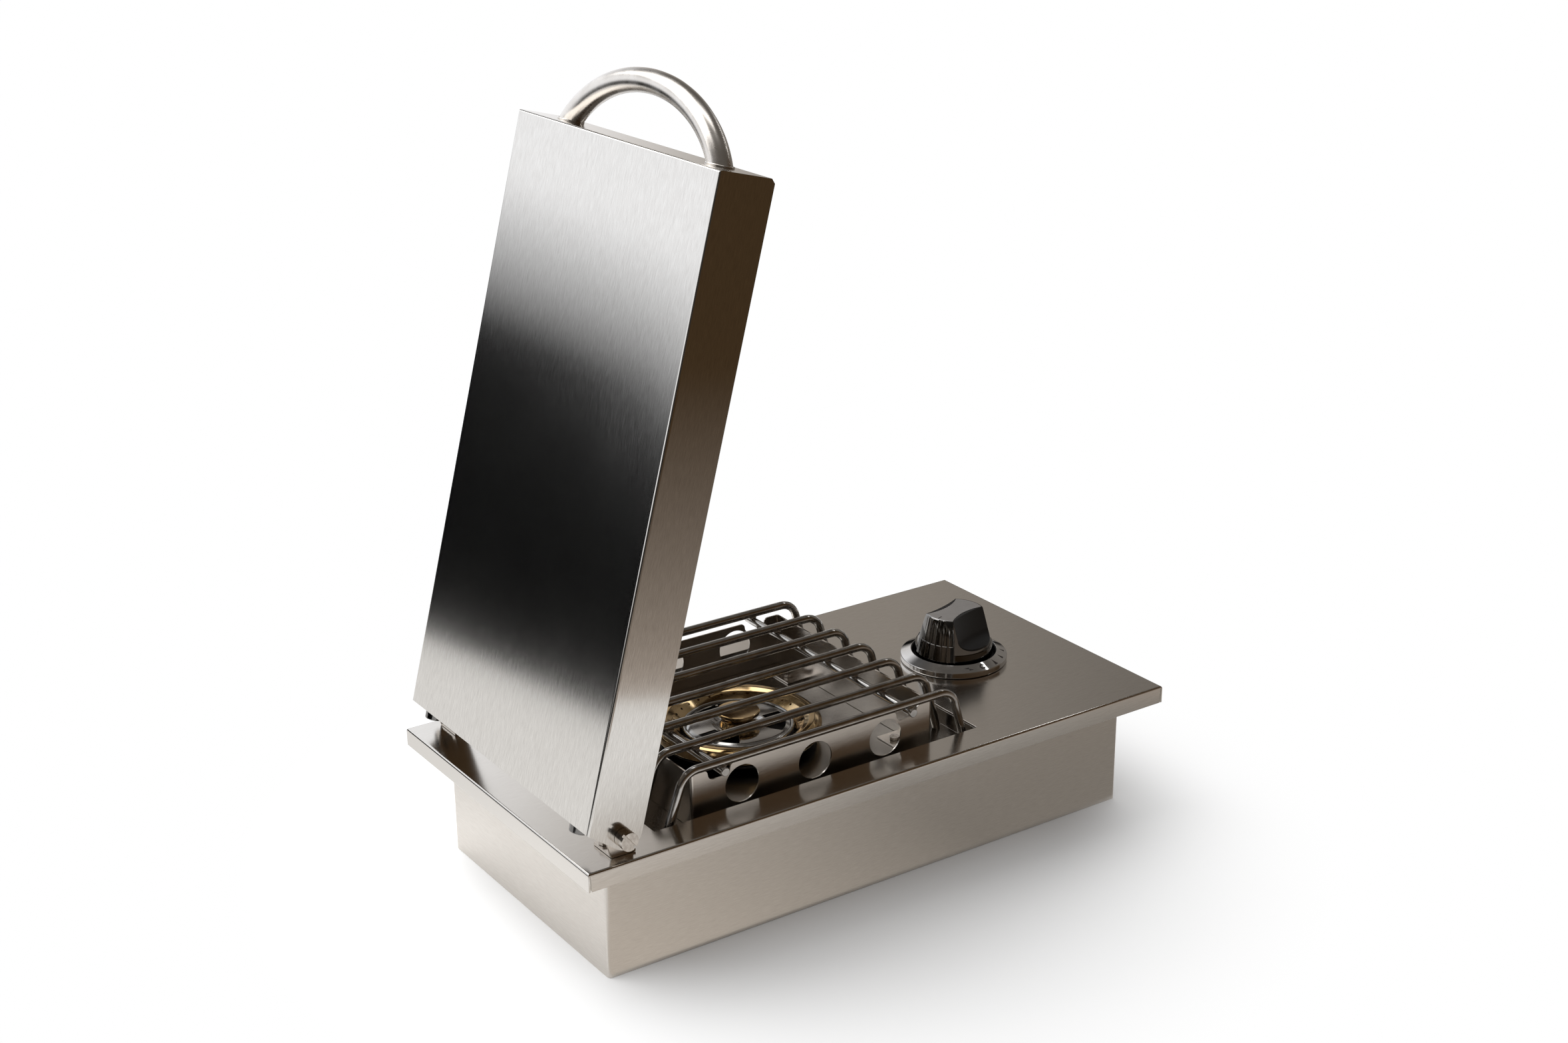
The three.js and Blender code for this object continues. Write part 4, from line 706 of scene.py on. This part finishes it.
def dialMarks(s, bezel):
    rise = bezel["top"] - bezel["rim"]
    run = bezel["radius"] - bezel["bore"]
    middle = Vector(((bezel["radius"] + bezel["bore"]) / 2, 0, (bezel["top"] + bezel["rim"]) / 2))
    marks = []

    def onSlope(shape, angle):  # drawn with +X up the slope and +Y round the dial
        up = Vector((-run, 0, rise)).normalized()
        out = Vector((rise, 0, run)).normalized()
        basis = Matrix((up, out.cross(up), out)).transposed().to_4x4()
        place = Matrix.Translation(middle + out * s["lift"]) @ basis
        marks.append(moved(shape, Matrix.Rotation(math.radians(angle), 4, "Z") @ place))

    for angle, height in zip(s["flames"], s["flameHeights"]):
        half = height * s["flameShare"]
        onSlope(prismForm([(-height / 2, -half), (-height / 2, half), (height / 2, 0)], 0, s["thick"]), angle)
    ring = arcPoints((0, 0), s["ringRadius"], s["ringFrom"], s["ringTo"], s["ringSteps"])
    ring += arcPoints((0, 0), s["ringRadius"] - s["ringStroke"], s["ringTo"], s["ringFrom"], s["ringSteps"])
    onSlope(prismForm(ring, 0, s["thick"]), s["ring"])
    onSlope(prismForm(s["sparkPoints"], 0, s["thick"]), s["spark"])
    shape = moved(joined(marks), Matrix.Translation((0, bezel["y"], 0)))
    addPiece("bezel_dial_marks", shape, dialInk, "base")


knobPieces(knobSizes)
knobBezel(bezelSizes)
dialMarks(dialSizes, bezelSizes)
print("knob made")


# Lid handle: a bent satin tube welded to the lid's end wall
handleSizes = {"radius": 8.5, "halfSpan": 97.0, "rise": 41.0, "drop": 23.2, "start": 25.0, "overlap": 12.0,
               "steps": 64, "crown": 28.6, "front": -449.9, "detail": 10, "cut": 0.1, "bead": 0.8,
               "beadInset": 0.5, "beadSteps": 48}


def lidHandle(s):
    start = math.radians(s["start"])
    first = start - math.radians(s["overlap"])
    reachX = s["halfSpan"] / math.cos(start)
    reachY = s["rise"] / (1 - math.sin(start))
    z = s["crown"] - s["drop"]
    points = []
    for i in range(s["steps"] + 1):
        angle = first + (math.pi - 2 * first) * i / s["steps"]
        points.append((reachX * math.cos(angle), s["front"] - reachY * (math.sin(angle) - math.sin(start)), z))
    tube = tubeForm(points, s["radius"], s["detail"])
    whole = [*tube.verts, *tube.edges, *tube.faces]  # what reaches behind the lid's wall is cut off
    ends = bmesh.ops.bisect_plane(tube, geom=whole, plane_co=(0, s["front"] - s["cut"], 0),
                                  plane_no=(0, 1, 0), clear_outer=True)["geom_cut"]
    bmesh.ops.holes_fill(tube, edges=only(bmesh.types.BMEdge, ends))
    addPiece("lid_bow_handle", moved(tube, lidPlace), satinSteel, "lid", ("lid_handle",))
    beads = []
    slant = math.atan2(reachY * math.cos(start), reachX * math.sin(start))
    for side in (-1, 1):
        turns = [2 * math.pi * i / s["beadSteps"] for i in range(s["beadSteps"] + 1)]
        path = [(side * s["halfSpan"] + (s["radius"] / math.sin(slant)) * math.cos(a),
                 s["front"] - s["beadInset"], z + s["radius"] * math.sin(a)) for a in turns]
        beads.append(tubeForm(path, s["bead"]))
    addPiece("handle_weld_beads", moved(joined(beads), lidPlace), satinSteel, "lid")


lidHandle(handleSizes)


# Hinge screws with their slotted cheese heads
screwSizes = {"y": 229.0, "z": 116.6, "headStart": 132.55, "headEnd": 141.95, "headRadius": 6.75,
              "shank": 3.2, "shankEnd": 122.0, "slotWidth": 2.2, "slotDepth": 2.5, "slotOver": 0.8,
              "slotTurn": {-1: 38.0, 1: 12.0}, "steps": 64, "bevel": 0.5, "bevelAngle": 30}


def hingeScrew(s, side, label):
    outline = [(0, s["shankEnd"]), (s["shank"], s["shankEnd"]), (s["shank"], s["headStart"]),
               (s["headRadius"], s["headStart"]), (s["headRadius"], s["headEnd"]), (0, s["headEnd"])]
    slot = blockForm((-2 * s["headRadius"], -s["slotWidth"] / 2, s["headEnd"] - s["slotDepth"]),
                     (2 * s["headRadius"], s["slotWidth"] / 2, s["headEnd"] + s["slotOver"]))
    moved(slot, Matrix.Rotation(math.radians(s["slotTurn"][side]), 4, "Z"))
    shape = combined(turnedForm(outline, s["steps"]), slot)
    turn = Matrix.Translation((0, s["y"], s["z"])) @ Matrix.Rotation(side * math.pi / 2, 4, "Y")
    addPiece(f"hinge_cheese_screw_{label}", moved(shape, turn), screwSteel, "base",
             (f"hinge_screw_{label}",), s["bevel"], s["bevelAngle"])


hingeScrew(screwSizes, -1, "left")
hingeScrew(screwSizes, 1, "right")
print("handle and hinge screws made")


def numbered(name, count):
    return [f"{name}_{i + 1}" for i in range(count)]


# Finishes of the parts that keep their own form
plainFinishes = {
    screwSteel: (*numbered("wind_guard_screw", 4), *numbered("burner_screw", 2), *numbered("valve_screw", 2),
                 *numbered("bracket_screw", 4), "hinge_washer_left", "hinge_washer_right", "hinge_nut_left",
                 "hinge_nut_right", "valve_stem", "stem_collar", "igniter_electrode"),
    castIron: ("burner_base", "mixing_tube"),
    guardSteelPaintedWarm: ("air_shutter", "valve_flange", "supply_pipe"),
    forgedBrass: ("gas_jet", "gas_valve", "inlet_fitting", "inlet_locknut"),
    blackNylon: ("igniter_module", "ignition_lead"),
    porcelain: ("igniter_ceramic",),
}
for material, nodes in plainFinishes.items():
    for node in nodes:
        mesh = frame["nodes"][node].data
        mesh.materials.clear()
        mesh.materials.append(material)
print("finishes set")


# Camera, at the photograph's viewing angle; lengths are in metres from here on
cameraSizes = {"place": (-1.3213, 0.9083, 0.8542), "right": (-0.56652, -0.82401, -0.00736),
               "up": (0.28543, -0.20460, 0.93631), "back": (-0.77303, 0.52834, 0.35111), "lens": 52.43}
camera = addObject("camera", bpy.data.cameras.new("camera"))
turn = Matrix((cameraSizes["right"], cameraSizes["up"], cameraSizes["back"])).transposed().to_4x4()
camera.matrix_world = Matrix.Translation(cameraSizes["place"]) @ turn
camera.data.lens = cameraSizes["lens"]
camera.data.sensor_width = 36
camera.data.clip_start = 0.05
camera.data.clip_end = 100
bpy.context.scene.camera = camera


# Studio: a pale floor, a white surround, and a cloth tent, a card and a glowing sheet of painted floor shade
# that the camera doesn't see
studioSizes = {
    "floorRadius": 9.0, "floorDrop": 0.0003, "nearWhite": 0.2, "farWhite": 0.43, "ambient": 0.9,
    "dimSide": 0.35, "litSide": 2.0, "dayFrom": -0.5, "dayTo": 0.8, "wallTint": "#fff6ec",
    "openTint": "#f5f8fd", "tentRadius": 1.4, "tentHeight": 1.9, "tentCut": -0.01, "foot": 0.86,
    "openSide": (0.839, 0.545, 0.0), "openFrom": 0.33, "openTo": 0.68, "open": 1.35,
    "front": (0.5, -0.6, 0.0), "frontFrom": 0.1, "frontTo": 0.7, "dark": 0.035,
    "right": (-0.588, -0.809, 0.0), "greyFrom": 0.1, "greyTo": 0.45, "grey": 0.35, "rightGrey": 0.22,
    "leanFrom": 0.17, "leanTo": 0.45, "leanLow": -0.045, "leanHigh": 0.11,
    "bandFrom": 0.35, "bandTo": 0.54, "bandSlope": 0.35, "bandDark": 0.004375,
    "roofFrom": 0.8, "roofTo": 1.2, "roof": 0.12}


def shareSeen(tree):  # 1 for the rays that show the studio: the camera's, and those of mirrors and glass
    path = addNode(tree, "LightPath")
    share = addNode(tree, "Math", {"operation": "MAXIMUM"},
                    {0: (path, "Is Camera Ray"), 1: (path, "Is Glossy Ray")})
    return addNode(tree, "Math", {"operation": "MAXIMUM"}, {0: (share, 0), 1: (path, "Is Transmission Ray")})


def asSurface(tree, node):
    tree.links.new(node.outputs[0], tree.nodes["Material Output"].inputs["Surface"])


def glowNode(tree, share, ends, strength=None):  # light whose colour runs between two ends
    tone = addNode(tree, "ValToRGB", {"stops": ((0.0, ends[0]), (1.0, ends[1]))}, {"Fac": (share, 0)})
    glow = addNode(tree, "Emission", {"Strength": 1.0}, {"Color": (tone, "Color")})
    if strength:
        tree.links.new(strength.outputs[0], glow.inputs["Strength"])
    return glow


def studioFloor(s):
    shape = bmesh.new()
    bmesh.ops.create_circle(shape, cap_ends=True, segments=96, radius=s["floorRadius"])
    floor = addObject("studio_floor", meshFrom(shape, "studio_floor"))
    floor.location.z = -s["floorDrop"]
    material, tree, shader = newMaterial("matWhiteFloor", {"Base Color": linear("#fafafa"), "Roughness": 0.9})
    coords = addNode(tree, "TexCoord")
    distance = addNode(tree, "VectorMath", {"operation": "LENGTH"}, {0: (coords, "Object")})
    far = addNode(tree, "MapRange", {
        "interpolation_type": "SMOOTHSTEP", "From Min": s["nearWhite"], "From Max": s["farWhite"],
    }, {"Value": (distance, "Value")})
    share = addNode(tree, "Math", {"operation": "MULTIPLY"}, {0: (shareSeen(tree), 0), 1: (far, 0)})
    white = addNode(tree, "Emission", {"Strength": 1.0})
    blend = addNode(tree, "MixShader", {}, {0: (share, 0), 1: (shader, 0), 2: (white, 0)})
    asSurface(tree, blend)
    floor.data.materials.append(material)


def unseenScreen(name, shape, lightsFloor):  # a glowing surface that the camera looks through
    screen = addObject(name, meshFrom(shape, name))
    screen.visible_camera = False
    screen.visible_diffuse = lightsFloor
    screen.visible_shadow = lightsFloor
    material = bpy.data.materials.new(name)
    material.cycles.emission_sampling = "NONE"
    material.use_nodes = True
    tree = material.node_tree
    tree.nodes.remove(tree.nodes["Principled BSDF"])
    screen.data.materials.append(material)
    return tree


def studioTent(s):
    shape = bmesh.new()
    bmesh.ops.create_uvsphere(shape, u_segments=96, v_segments=48, radius=1.0)
    bmesh.ops.bisect_plane(shape, geom=[*shape.verts, *shape.edges, *shape.faces],
                           plane_co=(0, 0, s["tentCut"]), plane_no=(0, 0, -1), clear_outer=True)
    moved(shape, Matrix.Diagonal((s["tentRadius"], s["tentRadius"], s["tentHeight"], 1)))
    foot = [v for v in shape.verts if v.co.z < 0]  # the cloth's foot is drawn in along the floor
    bmesh.ops.scale(shape, vec=(s["foot"], s["foot"], 1), verts=foot)
    tree = unseenScreen("studioTentCloth", shape, True)
    coords = addNode(tree, "TexCoord")
    height = addNode(tree, "SeparateXYZ", {}, {0: (coords, "Object")})
    side = [c / s["tentRadius"] for c in s["openSide"]]
    reach, sidewards, front, right = [
        addNode(tree, "VectorMath", {"operation": "DOT_PRODUCT", 1: way}, {0: (coords, "Object")})
        for way in (side, (-side[1], side[0], 0.0), s["front"], s["right"])]
    across, roof, frontShare = [addNode(tree, "MapRange", {
        "interpolation_type": "SMOOTHSTEP", "From Min": s[f"{part}From"], "From Max": s[f"{part}To"],
    }, {"Value": source}) for part, source in (
        ("open", (reach, "Value")), ("roof", (height, "Z")), ("front", (front, "Value")))]
    # the dark band along the horizon is tallest on the open side, and leans along it
    raised = addNode(tree, "Math", {"operation": "MULTIPLY_ADD", 1: -s["bandSlope"]},
                     {0: (reach, "Value"), 2: (height, "Z")})
    leaning = addNode(tree, "MapRange", {
        "From Min": s["leanFrom"], "From Max": s["leanTo"], "To Min": s["leanLow"], "To Max": s["leanHigh"],
    }, {"Value": (sidewards, "Value")})
    raised = addNode(tree, "Math", {"operation": "ADD"}, {0: (raised, 0), 1: (leaning, 0)})
    band = addNode(tree, "MapRange", {
        "From Min": s["bandFrom"] - s["bandSlope"], "From Max": s["bandTo"] - s["bandSlope"],
    }, {"Value": (raised, 0)})
    grey = addNode(tree, "MapRange", {
        "From Min": s["greyFrom"], "From Max": s["greyTo"], "To Min": s["grey"], "To Max": s["rightGrey"],
    }, {"Value": (right, "Value")})
    glowing = addNode(tree, "Mix", {"data_type": "FLOAT", 2: s["dark"]}, {0: (frontShare, 0), 3: (grey, 0)})
    glowing = addNode(tree, "Mix", {"data_type": "FLOAT", 3: s["open"]}, {0: (across, 0), 2: (glowing, 0)})
    glowing = addNode(tree, "Mix", {"data_type": "FLOAT", 2: s["bandDark"]}, {0: (band, 0), 3: (glowing, 0)})
    glowing = addNode(tree, "Mix", {"data_type": "FLOAT", 3: s["roof"]}, {0: (roof, 0), 2: (glowing, 0)})
    glow = glowNode(tree, across, (s["wallTint"], s["openTint"]), glowing)
    # what lights the object and the floor, stronger from the open side
    daylight = addNode(tree, "MapRange", {
        "interpolation_type": "SMOOTHSTEP", "From Min": s["dayFrom"], "From Max": s["dayTo"],
        "To Min": s["dimSide"], "To Max": s["litSide"],
    }, {"Value": (reach, "Value")})
    plain = addNode(tree, "Emission", {}, {"Strength": (daylight, 0)})
    path = addNode(tree, "LightPath")
    shown = addNode(tree, "MixShader", {}, {0: (path, "Is Diffuse Ray"), 1: (glow, 0), 2: (plain, 0)})
    asSurface(tree, shown)


# Dark card on the right of the camera's view, which the lid's side panel mirrors
cardSizes = {"middle": (-0.54, 0.0), "along": (0.53, -0.85), "width": 1.6, "height": 0.9, "fade": 0.3,
             "falloff": 0.42, "foot": "#cdc2b8", "top": "#483826"}


def darkCard(s):
    across = Vector((*s["along"], 0)).normalized() * s["width"] / 2
    middle = Vector((*s["middle"], 0))
    shape = bmesh.new()
    edge = shape.edges.new([shape.verts.new(middle - across), shape.verts.new(middle + across)])
    risen = bmesh.ops.extrude_edge_only(shape, edges=[edge])["geom"]
    bmesh.ops.translate(shape, vec=(0, 0, s["height"]), verts=only(bmesh.types.BMVert, risen))
    tree = unseenScreen("brownPaperCard", shape, False)
    coords = addNode(tree, "TexCoord")
    height = addNode(tree, "SeparateXYZ", {}, {0: (coords, "Object")})
    up = addNode(tree, "MapRange", {"From Min": 0.0, "From Max": s["fade"]}, {"Value": (height, "Z")})
    falling = addNode(tree, "Math", {"operation": "POWER", 1: s["falloff"]}, {0: (up, 0)})
    asSurface(tree, glowNode(tree, falling, (s["foot"], s["top"])))


# Glowing grey sheet over the floor beside the object, which the box and the plate's edge mirror: painted floor,
# darker towards the front as a painted shadow of the object
# front and rear colours: the painted shadow of the object on the floor, and painted lit floor
floorShadeSizes = {"low": (-0.43, -0.75), "high": (-0.119, 0.3), "z": 0.0006, "from": -0.1, "to": 0.2,
              "front": "#928e89", "rear": "#dbd4cc", "fade": 0.17}


def floorShadeSheet(s):
    shape = bmesh.new()
    bmesh.ops.create_grid(shape, x_segments=1, y_segments=1, size=0.5)
    size = [high - low for low, high in zip(s["low"], s["high"])]
    middle = [(high + low) / 2 for low, high in zip(s["low"], s["high"])]
    moved(shape, Matrix.Translation((*middle, s["z"])) @ Matrix.Diagonal((*size, 1, 1)))
    tree = unseenScreen("paintedFloorShade", shape, False)
    coords = addNode(tree, "TexCoord")
    place = addNode(tree, "SeparateXYZ", {}, {0: (coords, "Object")})
    along = addNode(tree, "MapRange", {"From Min": s["from"], "From Max": s["to"]}, {"Value": (place, "Y")})
    # the glow runs from painted floor shadow at the front to painted lit floor at the rear
    glow = glowNode(tree, along, (s["front"], s["rear"]))
    shown = [addNode(tree, "MapRange", {
        "interpolation_type": "SMOOTHSTEP", "From Min": s["low"][i], "From Max": s["low"][i] + s["fade"],
    }, {"Value": (place, axis)}) for i, axis in enumerate("XY")]
    share = addNode(tree, "Math", {"operation": "MULTIPLY"}, {0: (shown[0], 0), 1: (shown[1], 0)})
    clear = addNode(tree, "BsdfTransparent")
    soft = addNode(tree, "MixShader", {}, {0: (share, 0), 1: (clear, 0), 2: (glow, 0)})
    asSurface(tree, soft)


def studioWorld(s):
    world = bpy.data.worlds.new("studio")
    bpy.context.scene.world = world
    world.use_nodes = True
    tree = world.node_tree
    strength = addNode(tree, "MapRange", {"To Min": s["ambient"], "To Max": 1.0},
                       {"Value": (shareSeen(tree), 0)})
    background = tree.nodes["Background"]
    background.inputs["Color"].default_value = (1, 1, 1, 1)
    tree.links.new(strength.outputs[0], background.inputs["Strength"])


# Lamps: a large key from behind, a small one overhead, and a narrow strip in front
lampSizes = {
    "key_softbox": {"place": (0.55, 0.42, 1.25), "target": (0, 0, 0.1), "size": (0.9, 0.9), "power": 7},
    "ceiling_softbox": {"place": (0.15, -0.1, 1.55), "target": (0, 0, 0.3), "size": (0.5, 0.3), "power": 1.2},
    "strip_softbox": {"place": (0.1, -0.8, 0.95), "target": (0, 0, 0.1), "size": (0.7, 0.04), "power": 0.35},
}


def softbox(name, s):
    lamp = bpy.data.lights.new(name, "AREA")
    lamp.shape = "RECTANGLE"
    lamp.size, lamp.size_y = s["size"]
    lamp.energy = s["power"]
    holder = addObject(name, lamp)
    holder.location = s["place"]
    holder.rotation_mode = "QUATERNION"
    holder.rotation_quaternion = (Vector(s["target"]) - Vector(s["place"])).to_track_quat("-Z", "Y")


studioFloor(studioSizes)
studioTent(studioSizes)
darkCard(cardSizes)
floorShadeSheet(floorShadeSizes)
studioWorld(studioSizes)
for name, sizes in lampSizes.items():
    softbox(name, sizes)
bpy.context.scene.view_settings.view_transform = "Standard"
print("studio set")
